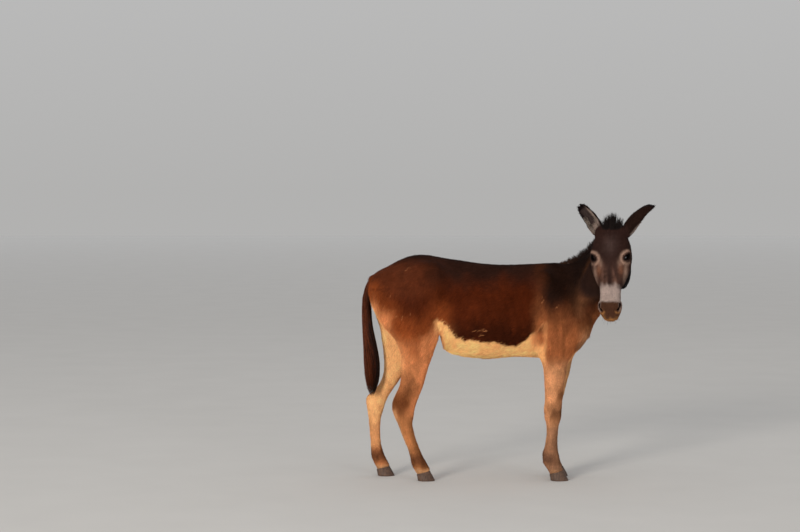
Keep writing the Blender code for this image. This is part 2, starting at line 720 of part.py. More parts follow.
def forelock(extra):
    """Rings of the tuft that stands up between the ears."""
    foot = head_point(0.006, 0.004, -0.030)
    lift = np.array((0.006, 0.020, 1.0))
    back = np.cross(FACE_LEFT, (0, 0, 1))
    turns = [math.tau * i / 14 for i in range(14)]
    rings = []
    for rise, wide, deep in FORELOCK:
        wide, deep, middle = wide + extra, deep + extra, foot + lift * rise
        rings.append([middle + FACE_LEFT * wide * math.cos(t) + back * deep * math.sin(t) for t in turns])
    return longer(rings, extra)


def tail(extra):
    """Rings of the tail, from its tip up to the dock."""
    turns = [math.tau * i / 14 for i in range(14)]
    rings = []
    for z, back, front, middle, half in dense(TAIL, 11):
        x, deep, half = (back + front) / 2, (front - back) / 2 + extra, half + extra
        rings.append([(x + deep * math.cos(t), middle + half * math.sin(t), z) for t in turns])
    return longer(rings, extra)


def loose_parts(obj, folder):
    """Each connected body of a mesh as its own object, named after the nearest label."""
    work = bmesh.new()
    work.from_mesh(obj.data)
    unseen = set(work.verts)
    found = []
    while unseen:
        stack = [unseen.pop()]
        group = set(stack)
        while stack:
            for edge in stack.pop().link_edges:
                for vert in edge.verts:
                    if vert in unseen:
                        unseen.remove(vert)
                        group.add(vert)
                        stack.append(vert)
        found.append(group)
    pieces = {}
    for group in sorted(found, key=len, reverse=True):
        middle = sum((v.co for v in group), Vector()) / len(group)
        if middle.z < CORONET_TOP:
            continue
        name = min(LABELS, key=lambda label: (Vector(label[1]) - middle).length)[0]
        if name in pieces:
            continue
        index = {v: i for i, v in enumerate(sorted(group, key=lambda v: v.index))}
        faces = [tuple(index[v] for v in face.verts) for face in work.faces if face.verts[0] in index]
        pieces[name] = new_object(name, [v.co for v in index], faces, folder)
    work.free()
    return pieces


def main():
    for old in list(bpy.data.objects):
        bpy.data.objects.remove(old)
    scene = bpy.context.scene
    parts = bpy.data.collections.new("donkey")
    cutters = bpy.data.collections.new("cutters")
    scene.collection.children.link(parts)
    scene.collection.children.link(cutters)
    origin = bpy.data.objects.new("origin", None)
    parts.objects.link(origin)

    whole = flesh(cutters)
    for form in (mane, forelock, tail):
        loft(form.__name__, form(0), parts)
        room = loft(form.__name__ + "_room", form(CLEARANCE), cutters)
        hide(room)
        cut(whole, room)
    for row in EARS:
        ear(*row, parts)
        cut(whole, ear_room(*row, cutters))
    for side in (-1, 1):
        for name, (s, w, n), radii in HOLLOWS:
            hollow = ellipsoid(name, (s, side * w, n), radii, cutters)
            hide(hollow)
            cut(whole, hollow)
    for name, centre, normal, across, size in PLATES:
        cut(whole, slab(name, centre, normal, across, size, cutters))
    for name, centre, side, length in HEAD_PLATES:
        along = np.array(side) @ HEAD_AXES
        normal = np.cross(along, FACE_LEFT)
        size = (length, HEAD_PLATE_WIDTH)
        cut(whole, slab(name, head_point(*centre), normal, along, size, cutters))
    for name, heel, toe, middle in HOOVES:
        x = (heel + toe) / 2
        centre = (x, middle, coronet(x, heel))
        cut(whole, slab("cut_" + name, centre, (-CORONET_SLOPE, 0, 1), (0, 1, 0), (0.16, 0.20), cutters))
        hoof(name, heel, toe, middle, parts)
    whole = baked(whole, cutters)
    loose_parts(whole, parts)
    bpy.data.objects.remove(whole)

    s, w, n = EYE_AT
    ellipsoid("eye_right", (s, -w, n), [EYE_RADIUS] * 3, parts)
    ellipsoid("eye_left", (s, w, n), [EYE_RADIUS] * 3, parts)

    for obj in [*parts.objects, *cutters.objects]:
        if obj is not origin:
            obj.parent = origin
    for obj in origin.children:
        kind = obj.name.split("_")[0]
        if kind in COLOURS and not obj.hide_render:
            paint(obj, COLOURS[kind], GLOSSY.get(kind, COAT_ROUGHNESS))
    origin.location = (-MODEL_CENTRE[0], -MODEL_CENTRE[1], 0)


main()
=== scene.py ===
"""Looks of the standing donkey: one skin under a short coat of mesh tufts, with mane, forelock and tail.

Shapes are worked out in body coordinates, the ones that the solids were built in: metres, +X forward
along the body, +Y to the animal's left, +Z up from the floor. MODEL_CENTRE moves them into the frame.
"""

import math
from types import SimpleNamespace

import bmesh
import bpy
import numpy as np
import openvdb
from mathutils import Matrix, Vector
from mathutils.bvhtree import BVHTree


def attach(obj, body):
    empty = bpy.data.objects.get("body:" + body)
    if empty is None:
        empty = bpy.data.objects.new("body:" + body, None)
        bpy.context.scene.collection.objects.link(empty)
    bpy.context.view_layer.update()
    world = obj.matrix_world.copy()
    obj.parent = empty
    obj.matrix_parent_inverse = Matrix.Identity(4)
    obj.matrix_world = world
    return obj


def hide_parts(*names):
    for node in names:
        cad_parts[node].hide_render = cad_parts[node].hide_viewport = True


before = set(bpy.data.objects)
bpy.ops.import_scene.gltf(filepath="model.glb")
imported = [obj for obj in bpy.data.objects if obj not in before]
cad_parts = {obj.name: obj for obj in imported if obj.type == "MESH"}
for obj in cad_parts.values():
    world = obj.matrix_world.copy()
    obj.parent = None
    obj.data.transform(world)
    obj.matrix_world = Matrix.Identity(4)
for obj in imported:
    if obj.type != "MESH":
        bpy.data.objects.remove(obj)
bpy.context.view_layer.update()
random = np.random.default_rng(11)

# ---------------------------------------------------------------- driving sizes
MODEL_CENTRE = np.array((0.146, -0.137, 0.0))  # the frame's origin in body coordinates
CELL = 0.0108  # sampling step of the skin, away from the head
FAR = 1.0  # field value far from any surface
# The sampling grid is denser round the head: steps there are shortened by HEAD_ZOOM
ZOOM_CENTRE = np.array((0.640, -0.460, 1.170))
HEAD_ZOOM = 0.60
ZOOM_REACH = 1.10

# The head's own frame: s runs from the poll down the face, w to the animal's left, n out of the face.
POLL = np.array((0.687, -0.345, 1.393))
HEAD_YAW = math.radians(14)  # past a square turn to the right
HEAD_PITCH = math.radians(70)  # the face line below the horizontal
HEAD_ROLL = math.radians(2.2)  # the muzzle swings to the animal's left


def head_axes():
    """The ways of s, w and n, one in each row."""
    yaw, pitch, roll = ((math.cos(a), math.sin(a)) for a in (HEAD_YAW, HEAD_PITCH, HEAD_ROLL))
    down = np.array((-pitch[0] * yaw[1], -pitch[0] * yaw[0], -pitch[1]))
    out = np.array((-pitch[1] * yaw[1], -pitch[1] * yaw[0], pitch[0]))
    left = np.array((yaw[0], -yaw[1], 0.0))
    return np.stack((roll[0] * down + roll[1] * left, roll[0] * left - roll[1] * down, out))


HEAD_AXES = head_axes()
EYE_RADIUS = 0.0195
EYE_AT = np.array((0.160, 0.074, -0.027))  # s, w, n
EYE_OUT = np.array((0.04, 0.65, 0.76))  # the way the eye looks
EYE_LONG = np.array((0.82, -0.44, 0.36))  # along the lids, towards the nose
LID_THICKNESS = 0.0038
LID_HALF_LENGTH, LID_HALF_HEIGHT = 0.0184, 0.0103


# ---------------------------------------------------------------- anatomy tables
# Trunk: x, back line, belly line, half width, how much the section narrows upwards
TRUNK = (
    (-0.614, 1.075, 1.030, 0.015, 0.00),
    (-0.600, 1.112, 0.975, 0.051, 0.00),
    (-0.580, 1.138, 0.935, 0.080, 0.00),
    (-0.550, 1.160, 0.890, 0.108, 0.05),
    (-0.500, 1.186, 0.850, 0.136, 0.10),
    (-0.440, 1.218, 0.825, 0.154, 0.12),
    (-0.360, 1.243, 0.800, 0.168, 0.14),
    (-0.280, 1.243, 0.800, 0.175, 0.14),
    (-0.222, 1.233, 0.795, 0.187, 0.16),
    (-0.205, 1.230, 0.740, 0.189, 0.16),
    (-0.166, 1.224, 0.702, 0.194, 0.17),
    (-0.095, 1.214, 0.678, 0.204, 0.18),
    (0.000, 1.200, 0.668, 0.213, 0.20),
    (0.100, 1.192, 0.669, 0.209, 0.22),
    (0.200, 1.192, 0.675, 0.192, 0.26),
    (0.300, 1.196, 0.672, 0.170, 0.32),
    (0.380, 1.194, 0.664, 0.151, 0.34),
    (0.450, 1.175, 0.662, 0.137, 0.30),
    (0.520, 1.090, 0.690, 0.117, 0.20),
    (0.575, 1.000, 0.742, 0.092, 0.10),
    (0.615, 0.930, 0.800, 0.056, 0.00),
)
# Neck: centre x, y, z, half depth crest to throat, half width
NECK = (
    (0.360, 0.000, 0.965, 0.185, 0.105),
    (0.460, -0.003, 0.990, 0.198, 0.118),
    (0.548, -0.020, 1.032, 0.178, 0.106),
    (0.618, -0.060, 1.108, 0.142, 0.090),
    (0.662, -0.118, 1.200, 0.112, 0.078),
    (0.685, -0.185, 1.260, 0.106, 0.070),
    (0.692, -0.245, 1.284, 0.100, 0.064),
    (0.690, -0.292, 1.290, 0.080, 0.052),
)
# Legs, by height: z, back edge x, front edge x, middle y, half width across
FORELEG_RIGHT = (
    (0.860, 0.350, 0.545, 0.098, 0.050),
    (0.780, 0.345, 0.540, 0.100, 0.055),
    (0.715, 0.338, 0.516, 0.102, 0.056),
    (0.655, 0.340, 0.486, 0.104, 0.053),
    (0.600, 0.346, 0.474, 0.105, 0.050),
    (0.540, 0.350, 0.464, 0.104, 0.045),
    (0.480, 0.353, 0.457, 0.102, 0.041),
    (0.430, 0.352, 0.452, 0.101, 0.039),
    (0.385, 0.350, 0.450, 0.100, 0.042),
    (0.350, 0.352, 0.447, 0.100, 0.041),
    (0.312, 0.361, 0.436, 0.099, 0.034),
    (0.265, 0.365, 0.430, 0.098, 0.028),
    (0.210, 0.362, 0.428, 0.098, 0.027),
    (0.160, 0.353, 0.431, 0.098, 0.029),
    (0.125, 0.342, 0.437, 0.098, 0.034),
    (0.098, 0.345, 0.443, 0.098, 0.033),
    (0.074, 0.360, 0.451, 0.098, 0.030),
    (0.045, 0.378, 0.466, 0.098, 0.033),
    (0.020, 0.386, 0.474, 0.098, 0.034),
)
HINDLEG_RIGHT = (
    (1.060, -0.585, -0.260, 0.090, 0.070),
    (0.985, -0.585, -0.240, 0.105, 0.080),
    (0.900, -0.545, -0.210, 0.110, 0.085),
    (0.830, -0.500, -0.212, 0.110, 0.080),
    (0.769, -0.470, -0.231, 0.108, 0.074),
    (0.702, -0.447, -0.254, 0.106, 0.064),
    (0.630, -0.438, -0.281, 0.104, 0.055),
    (0.575, -0.438, -0.297, 0.104, 0.049),
    (0.520, -0.448, -0.313, 0.104, 0.043),
    (0.481, -0.466, -0.328, 0.104, 0.039),
    (0.437, -0.484, -0.345, 0.104, 0.038),
    (0.398, -0.486, -0.357, 0.104, 0.038),
    (0.354, -0.473, -0.364, 0.104, 0.035),
    (0.315, -0.456, -0.370, 0.104, 0.030),
    (0.271, -0.439, -0.362, 0.104, 0.026),
    (0.227, -0.422, -0.350, 0.104, 0.025),
    (0.177, -0.401, -0.331, 0.104, 0.026),
    (0.133, -0.388, -0.312, 0.104, 0.031),
    (0.098, -0.381, -0.292, 0.104, 0.033),
    (0.070, -0.370, -0.276, 0.104, 0.030),
    (0.042, -0.352, -0.262, 0.104, 0.033),
    (0.020, -0.344, -0.254, 0.104, 0.034),
)
HINDLEG_LEFT = (
    (1.060, -0.585, -0.270, 0.090, 0.070),
    (0.985, -0.590, -0.255, 0.105, 0.080),
    (0.900, -0.575, -0.235, 0.110, 0.085),
    (0.824, -0.556, -0.250, 0.110, 0.080),
    (0.760, -0.546, -0.290, 0.108, 0.072),
    (0.700, -0.538, -0.338, 0.106, 0.062),
    (0.630, -0.532, -0.385, 0.104, 0.054),
    (0.575, -0.536, -0.418, 0.104, 0.048),
    (0.520, -0.556, -0.455, 0.104, 0.042),
    (0.481, -0.588, -0.482, 0.104, 0.039),
    (0.445, -0.627, -0.505, 0.104, 0.038),
    (0.410, -0.631, -0.520, 0.104, 0.038),
    (0.370, -0.626, -0.532, 0.104, 0.035),
    (0.330, -0.620, -0.544, 0.104, 0.030),
    (0.285, -0.616, -0.549, 0.104, 0.026),
    (0.235, -0.612, -0.549, 0.104, 0.025),
    (0.185, -0.607, -0.545, 0.104, 0.026),
    (0.140, -0.606, -0.534, 0.104, 0.031),
    (0.105, -0.602, -0.520, 0.104, 0.033),
    (0.075, -0.590, -0.504, 0.104, 0.030),
    (0.045, -0.574, -0.487, 0.104, 0.033),
    (0.020, -0.566, -0.479, 0.104, 0.034),
)
# How much further forward the far foreleg stands: height, shift
FORELEG_LEFT_SHIFT = ((0.00, 0.012), (0.38, 0.012), (0.58, 0.040), (0.90, 0.040))
# Hooves: name, heel x, toe x on the floor, middle y
HOOVES = (
    ("hoof_fore_right", 0.388, 0.489, -0.098),
    ("hoof_fore_left", 0.400, 0.501, 0.098),
    ("hoof_hind_right", -0.343, -0.246, -0.104),
    ("hoof_hind_left", -0.566, -0.469, 0.104),
)
HOOF_HALF_WIDTH = 0.040
CORONET_BACK = 0.040  # height of the hoof's upper edge over the heel
CORONET_SLOPE = 0.27

# Skull and nose: s, forehead line n, lower line n, half width
FACE = (
    (-0.030, -0.045, -0.100, 0.034),
    (-0.010, -0.018, -0.120, 0.058),
    (0.028, 0.002, -0.132, 0.080),
    (0.072, 0.013, -0.140, 0.099),
    (0.118, 0.017, -0.142, 0.109),
    (0.162, 0.015, -0.140, 0.111),
    (0.202, 0.009, -0.132, 0.105),
    (0.242, 0.003, -0.122, 0.092),
    (0.280, 0.000, -0.112, 0.076),
    (0.318, -0.001, -0.102, 0.062),
    (0.356, -0.002, -0.094, 0.057),
    (0.390, -0.004, -0.090, 0.057),
    (0.424, -0.009, -0.088, 0.060),
    (0.451, -0.019, -0.088, 0.058),
    (0.474, -0.036, -0.086, 0.047),
    (0.490, -0.055, -0.081, 0.028),
)
# Lower jaw, the same columns
JAW = (
    (0.010, -0.080, -0.160, 0.045),
    (0.050, -0.080, -0.205, 0.060),
    (0.100, -0.080, -0.228, 0.068),
    (0.150, -0.080, -0.229, 0.070),
    (0.200, -0.075, -0.213, 0.067),
    (0.250, -0.070, -0.187, 0.061),
    (0.295, -0.065, -0.156, 0.051),
    (0.342, -0.060, -0.131, 0.041),
    (0.386, -0.060, -0.118, 0.038),
    (0.420, -0.060, -0.115, 0.040),
    (0.449, -0.065, -0.113, 0.038),
    (0.472, -0.075, -0.104, 0.027),
)


# ---------------------------------------------------------------- small helpers
def rise(x, low, high):
    """From 0 at low to 1 at high, smoothly; low may be the larger one."""
    t = np.clip((x - low) / (high - low), 0, 1)
    return t * t * (3 - 2 * t)


def bell(x, width):
    """1 at zero, falling off smoothly on both sides over about that width."""
    return np.exp(-((x / width) ** 2))


def blob(q, centre, radii):
    """The same round a centre, over a width along each axis."""
    return np.exp(-(((q - np.array(centre)) / np.array(radii)) ** 2).sum(1))


def nearness(q, centres, reach):
    """How much each of the centres counts at points q, the nearest ones most."""
    gap = ((q[:, None, :] - centres[None]) ** 2).sum(2)
    return np.exp((gap.min(1)[:, None] - gap) / (2 * reach**2))


def size_of(v):
    """Lengths of vectors."""
    return np.linalg.norm(v, axis=-1)


def unit(v):
    """Vectors brought to a length of 1."""
    return v / np.maximum(size_of(v)[..., None], 1e-9)


def noise(p, size, seed=0):
    """Smooth noise from -1 to 1 with features about that size; size may differ along each axis."""
    q = p / np.array(size) + 17.3 * seed
    cell = np.floor(q).astype(np.int64)
    f = q - cell
    f = f * f * (3 - 2 * f)
    total = np.zeros(len(p))
    for corner in np.ndindex(2, 2, 2):
        at = (cell + corner) * (73856093, 19349663, 83492791)
        mixed = (at[:, 0] ^ at[:, 1] ^ at[:, 2]) & 0xFFFFFFFF
        mixed = ((mixed ^ (mixed >> 15)) * 0x2C1B3C6D) & 0xFFFFFFFF
        mixed = ((mixed ^ (mixed >> 12)) * 0x297A2D39) & 0xFFFFFFFF
        value = (mixed >> 8 & 0xFFFF) / 32767.5 - 1
        total += value * np.prod(np.where(corner, f, 1 - f), axis=1)
    return total


def head_frame(p):
    """Points in the head's own frame: s, w, n."""
    return (p - POLL) @ HEAD_AXES.T


def from_head(q):
    """Places in the head's frame as points of the body."""
    return POLL + np.asarray(q) @ HEAD_AXES


def mirrored(q):
    """Points folded on to the animal's left side."""
    q = q.copy()
    q[:, 1] = np.abs(q[:, 1])
    return q


def edge(table, x):
    """Height at x along a line given by its points."""
    rows = np.array(table)
    return np.interp(x, rows[:, 0], rows[:, 1])


# ---------------------------------------------------------------- field toolkit
def dense(rows, samples=160):
    """The rows of a table joined by a smooth curve over their first column, or over their order."""
    table = np.array(rows, float)
    monotone = np.all(np.diff(table[:, 0]) > 0) or np.all(np.diff(table[:, 0]) < 0)
    key = table[:, 0] if monotone else np.arange(len(table), dtype=float)
    if key[0] > key[-1]:
        table, key = table[::-1], key[::-1]
    slope = np.gradient(table, key, axis=0)
    t = np.linspace(key[0], key[-1], samples)
    i = np.clip(np.searchsorted(key, t, side="right") - 1, 0, len(key) - 2)
    h = (key[i + 1] - key[i])[:, None]
    u = (t - key[i])[:, None] / h
    return (
        table[i] * (1 + 2 * u) * (1 - u) ** 2
        + table[i + 1] * u * u * (3 - 2 * u)
        + slope[i] * h * u * (1 - u) ** 2
        + slope[i + 1] * h * u * u * (u - 1)
    )


def ellipse(u, v, a, b):
    """About the signed distance to an ellipse of half axes a, b."""
    k0 = np.sqrt((u / a) ** 2 + (v / b) ** 2)
    k1 = np.sqrt((u / (a * a)) ** 2 + (v / (b * b)) ** 2)
    return k0 * (k0 - 1) / np.maximum(k1, 1e-6)


def beyond(t, low, high, d):
    """d closed off by flat ends at low and high."""
    return np.maximum(d, np.maximum(low - t, t - high))


def join(a, b, k):
    """Smooth union: the two surfaces flow into each other over about k."""
    h = np.clip(0.5 + 0.5 * (b - a) / k, 0, 1)
    return b + (a - b) * h - k * h * (1 - h)


def columns_at(table, key):
    """The other columns of a table where its first column has the value key."""
    return [np.interp(key, table[:, 0], table[:, c]) for c in range(1, table.shape[1])]


def sections(table, narrow=0.0):
    """A field of oval sections, from rows of place, top, bottom, half width and narrowing upwards."""
    t = dense(table)

    def field(q):
        top, low, half, *own = columns_at(t, q[:, 0])
        b = (top - low) / 2
        v = q[:, 2] - (top + low) / 2
        a = half * (1 - (own[0] if own else narrow) * np.clip(v / b, -1, 1))
        return beyond(q[:, 0], t[0, 0], t[-1, 0], ellipse(q[:, 1], v, a, b))

    return field


def leg(table, side, shift=((0.0, 0.0), (1.0, 0.0))):
    """A leg's field; side is -1 for the animal's right, and shift moves it forward by height."""
    t = dense(table)

    def field(p):
        z = p[:, 2]
        back, front, mid, half = columns_at(t, z)
        u = p[:, 0] - edge(shift, z) - (back + front) / 2
        d = ellipse(u, p[:, 1] - side * mid, (front - back) / 2, half)
        return beyond(z, t[0, 0], t[-1, 0], d * 0.92)

    return field


NECK_BLEND = 0.055  # over which stretches of the neck's line flow into each other


def neck_frames():
    """Centres, tangents, crest directions, side directions, half depths and half widths along the neck."""
    t = dense(NECK, 40)
    centre = t[:, :3]
    along = unit(np.gradient(centre, axis=0))
    side = unit(np.cross((0.0, 0.0, 1.0), along))
    return np.concatenate((centre, along, np.cross(along, side), side, t[:, 3:]), 1)


def neck(p):
    """A bent tube; each point belongs softly to the nearest stretch of the neck's line."""
    weight = nearness(p, NECK_FRAMES[:, :3], NECK_BLEND)
    f = (weight @ NECK_FRAMES) / weight.sum(1)[:, None]
    rel = p - f[:, :3]
    u = (rel * f[:, 9:12]).sum(1)
    v = (rel * f[:, 6:9]).sum(1)
    a, b = f[:, 13], f[:, 12]
    d = ellipse(u, v, a * (1 - 0.32 * np.clip(v / b, -1, 1)), b)
    first, last = NECK_FRAMES[0], NECK_FRAMES[-1]
    d = np.maximum(d, (first[:3] - p) @ first[3:6] - 0.03)
    return np.maximum(d, (p - last[:3]) @ last[3:6] - 0.01)


def ball(q, centre, radii):
    """About the signed distance to an ellipsoid along the axes."""
    r = np.array(radii)
    d = q - np.array(centre)
    k0 = np.sqrt(((d / r) ** 2).sum(1))
    k1 = np.sqrt(((d / (r * r)) ** 2).sum(1))
    return k0 * (k0 - 1) / np.maximum(k1, 1e-6)


def rod(q, a, b, ra, rb):
    """About the signed distance to a rod from a to b whose radius goes from ra to rb."""
    a, b = np.array(a, float), np.array(b, float)
    ab = b - a
    h = np.clip(((q - a) @ ab) / (ab @ ab), 0, 1)
    return size_of(q - a - h[:, None] * ab) - (ra + (rb - ra) * h)


def head(p):
    """Skull, jaw and the masses of the face."""
    q = mirrored(head_frame(p))
    d = SKULL(q)
    for mass, soft in (
        (JAWBONE(q), 0.030),
        (ball(q, (0.185, 0.052, -0.138), (0.110, 0.044, 0.080)), 0.025),  # cheek
        (ball(q, (0.140, 0.084, -0.016), (0.042, 0.022, 0.024)), 0.020),  # brow
        (rod(q, (0.212, 0.084, -0.058), (0.295, 0.058, -0.058), 0.012, 0.008), 0.022),  # facial crest
        (ball(q, (0.424, 0.040, -0.038), (0.030, 0.020, 0.026)), 0.018),  # nostril rim
        (ball(q, (0.476, 0.000, -0.070), (0.018, 0.036, 0.024)), 0.018),  # upper lip
        (ball(q, (0.457, 0.000, -0.103), (0.026, 0.030, 0.019)), 0.016),  # chin
        (ball(q, (0.010, 0.062, -0.050), (0.036, 0.027, 0.034)), 0.025),  # ear root
    ):
        d = join(d, mass, soft)
    return d


def shoulder(p):
    """Shoulder blade and upper arm on both sides."""
    q = mirrored(p)
    blade = rod(q, (0.365, 0.075, 1.095), (0.535, 0.112, 0.850), 0.058, 0.068)
    arm = rod(q, (0.530, 0.112, 0.830), (0.405, 0.108, 0.710), 0.066, 0.062)
    triceps = rod(q, (0.390, 0.112, 0.900), (0.385, 0.110, 0.735), 0.070, 0.050)
    return join(join(blade, arm, 0.04), triceps, 0.04)


def haunch(p):
    """Hip, thigh and buttock on both sides."""
    q = mirrored(p)
    hip = ball(q, (-0.300, 0.120, 1.090), (0.120, 0.075, 0.110))
    thigh = ball(q, (-0.390, 0.118, 0.960), (0.185, 0.080, 0.175))
    buttock = ball(q, (-0.530, 0.070, 1.020), (0.070, 0.060, 0.110))
    return join(join(hip, thigh, 0.06), buttock, 0.05)


NECK_FRAMES = neck_frames()
SKULL, JAWBONE = sections(FACE, -0.10), sections(JAW)
# Each mass: its field, the box it lies in and how softly it joins the rest
MASSES = (
    (sections(TRUNK), (-0.63, -0.26, 0.62), (0.64, 0.26, 1.27), 0.03),
    (haunch, (-0.63, -0.22, 0.76), (-0.15, 0.22, 1.24), 0.07),
    (shoulder, (0.28, -0.20, 0.62), (0.64, 0.20, 1.20), 0.05),
    (leg(HINDLEG_RIGHT, -1), (-0.62, -0.21, 0.0), (-0.18, 0.0, 1.08), 0.035),
    (leg(HINDLEG_LEFT, 1), (-0.66, 0.0, 0.0), (-0.20, 0.21, 1.08), 0.035),
    (leg(FORELEG_RIGHT, -1), (0.30, -0.18, 0.0), (0.58, -0.02, 0.88), 0.05),
    (leg(FORELEG_RIGHT, 1, FORELEG_LEFT_SHIFT), (0.31, 0.02, 0.0), (0.62, 0.18, 0.88), 0.05),
    (neck, (0.22, -0.36, 0.72), (0.84, 0.16, 1.50), 0.06),
    (head, (0.50, -0.64, 0.84), (0.88, 0.00, 1.48), 0.035),
)


def body(p):
    """About the signed distance from points p to the coat's outer surface, negative inside."""
    found = np.full(len(p), FAR)
    for mass, low, high, soft in MASSES:
        reach = soft + 0.05
        near = np.all((p > np.array(low) - reach) & (p < np.array(high) + reach), axis=1)
        if near.any():
            found[near] = join(found[near], mass(p[near]), soft)
    return found


def eye_axes():
    """The eye's own axes in the head's frame: along the lids, up across them, and out."""
    out = unit(EYE_OUT)
    along = unit(EYE_LONG - out * (EYE_LONG @ out))
    return np.stack((along, np.cross(along, out), out))


EYE_AXES = eye_axes()


def eye_frame(q):
    """Points of the head's frame in the eye's own axes."""
    return (q - EYE_AT) @ EYE_AXES.T


def nostril(q):
    """About the signed distance to the nostril's hollow."""
    return np.minimum(*(rod(q, *r) for r in NOSTRIL))


# ---------------------------------------------------------------- relief of the skin
# Low swellings and hollows on both sides of the body: centre, radii, height
RELIEF = (
    ((-0.285, 0.150, 1.150), (0.050, 0.040, 0.035), 0.0040),  # point of the hip
    ((-0.185, 0.165, 1.085), (0.060, 0.060, 0.050), -0.0080),  # hollow of the flank
    ((-0.240, 0.150, 0.835), (0.040, 0.050, 0.050), 0.0040),  # stifle
    ((-0.565, 0.060, 1.060), (0.030, 0.035, 0.040), 0.0035),  # point of the buttock
    ((0.565, 0.115, 0.865), (0.035, 0.040, 0.035), 0.0045),  # point of the shoulder
    ((0.335, 0.140, 0.735), (0.030, 0.050, 0.055), -0.0070),  # behind the elbow
    ((0.380, 0.140, 0.700), (0.020, 0.040, 0.022), 0.0040),  # elbow
    ((0.350, 0.060, 1.190), (0.080, 0.035, 0.030), -0.0030),  # beside the withers
    ((0.610, 0.000, 0.850), (0.050, 0.012, 0.080), -0.0080),  # between the breast muscles
    ((0.000, 0.000, 1.210), (0.300, 0.020, 0.040), -0.0020),  # along the spine
    ((0.050, 0.000, 0.668), (0.050, 0.026, 0.030), 0.0050),  # sheath
    ((-0.560, 0.000, 0.960), (0.050, 0.012, 0.100), -0.0100),  # between the buttocks
)
# Long furrows, or ridges where the depth is negative: from, to, half width, depth
FURROWS = (
    ((-0.226, 0.100, 0.815), (-0.224, 0.000, 0.755), 0.016, 0.0120),
    ((-0.330, 0.190, 1.040), (-0.290, 0.190, 0.860), 0.020, 0.0030),
    ((-0.480, 0.170, 1.080), (-0.450, 0.160, 0.820), 0.018, 0.0045),
    ((-0.400, 0.200, 0.980), (-0.400, 0.170, 0.800), 0.025, 0.0020),
    ((0.395, 0.150, 1.120), (0.505, 0.170, 0.930), 0.014, -0.0028),
    ((0.470, 0.190, 0.900), (0.395, 0.180, 0.760), 0.016, 0.0040),
    ((0.335, 0.170, 1.060), (0.345, 0.180, 0.880), 0.025, 0.0035),
    ((0.540, 0.160, 0.990), (0.600, 0.100, 0.900), 0.018, 0.0030),
)
# The same in the head's frame
HEAD_RELIEF = (
    ((0.100, 0.066, 0.006), (0.022, 0.018, 0.022), -0.0060),  # hollow above the eye
    ((0.160, 0.000, -0.235), (0.120, 0.022, 0.035), -0.0150),  # between the jaws
    ((0.490, 0.000, -0.060), (0.018, 0.004, 0.020), -0.0014),  # groove of the upper lip
    ((0.300, 0.052, -0.050), (0.050, 0.014, 0.018), -0.0030),  # in front of the cheek
    ((0.400, 0.058, -0.056), (0.018, 0.014, 0.016), -0.0030),  # behind the nostril
    ((0.060, 0.000, 0.010), (0.060, 0.012, 0.020), -0.0020),  # middle of the forehead
)
HEAD_FURROWS = (
    ((0.235, 0.090, -0.070), (0.275, 0.070, -0.140), 0.010, 0.0035),  # edge of the chewing muscle
    ((0.275, 0.070, -0.140), (0.230, 0.062, -0.200), 0.010, 0.0030),
    ((0.240, 0.036, -0.004), (0.400, 0.026, -0.008), 0.010, 0.0018),  # beside the nasal bone
    ((0.200, 0.086, -0.046), (0.300, 0.060, -0.056), 0.006, -0.0024),  # facial crest
    ((0.250, 0.070, -0.085), (0.400, 0.054, -0.075), 0.005, -0.0012),  # facial vein
)
NOSTRIL_RIM = 0.0075
# Nostril: two rods, from, to and both radii
NOSTRIL = (
    ((0.418, 0.0530, -0.023), (0.444, 0.0420, -0.028), 0.0062, 0.0080),
    ((0.432, 0.0470, -0.028), (0.404, 0.0340, -0.056), 0.0085, 0.0050),
)
# Mouth line: s, n
MOUTH = ((0.400, -0.094), (0.425, -0.095), (0.450, -0.091), (0.475, -0.088), (0.500, -0.090))
MOUTH_CORNER = 0.408
TAIL_BONE = ((-0.590, 0.0, 1.105), (-0.622, 0.003, 1.000), (-0.625, 0.004, 0.780))


def relief(q, bumps, furrows):
    """How much lower the field is on swellings, and higher in hollows."""
    change = np.zeros(len(q))
    for centre, radii, height in bumps:
        change -= height * blob(q, centre, radii)
    for start, end, half, depth in furrows:
        change += depth * bell(rod(q, start, end, 0, 0), half)
    return change


def lids(q, d):
    """The eyelids: a thickened shell over the eyeball, opened along an almond, with a fold above."""
    r = eye_frame(q)
    size = size_of(r)
    d = join(d, size - EYE_RADIUS - LID_THICKNESS, 0.012)
    bend = (LID_HALF_LENGTH**2 + LID_HALF_HEIGHT**2) / (2 * LID_HALF_HEIGHT)
    lift = bend - LID_HALF_HEIGHT
    upper = np.hypot(r[:, 0], r[:, 1] + lift) - bend
    lower = np.hypot(r[:, 0], r[:, 1] - lift) - bend
    almond = np.maximum(upper, lower)
    outside = rise(r[:, 2], 0, 0.006)
    above = rise(r[:, 1], -0.002, 0.004)
    below = 1 - above
    for offset, depth in ((0.0065, 0.0016), (0.0125, 0.0012)):
        d = d + depth * bell(upper - offset, 0.0016) * above * outside
    d = d + 0.0010 * bell(lower - 0.0060, 0.0018) * below * outside
    d = d - 0.0010 * bell(almond - 0.0018, 0.0016) * outside
    opening = np.maximum(almond, -r[:, 2])
    return -join(-np.maximum(d, EYE_RADIUS + 0.0003 - size), opening, 0.0016)


def face(p, d):
    """The head's finer features added to the field d."""
    q = mirrored(head_frame(p))
    d = d + relief(q, HEAD_RELIEF, HEAD_FURROWS)
    d = lids(q, d)
    slit = q[:, 2] - edge(MOUTH, q[:, 0])
    along = rise(q[:, 0], MOUTH_CORNER - 0.008, MOUTH_CORNER + 0.010)
    d = d + (0.0055 * bell(slit, 0.0020) - 0.0016 * bell(np.abs(slit) - 0.0055, 0.0035)) * along
    hole = nostril(q)
    d = d - 0.0026 * bell(hole - NOSTRIL_RIM, 0.0045)
    return -join(-d, hole, 0.003)


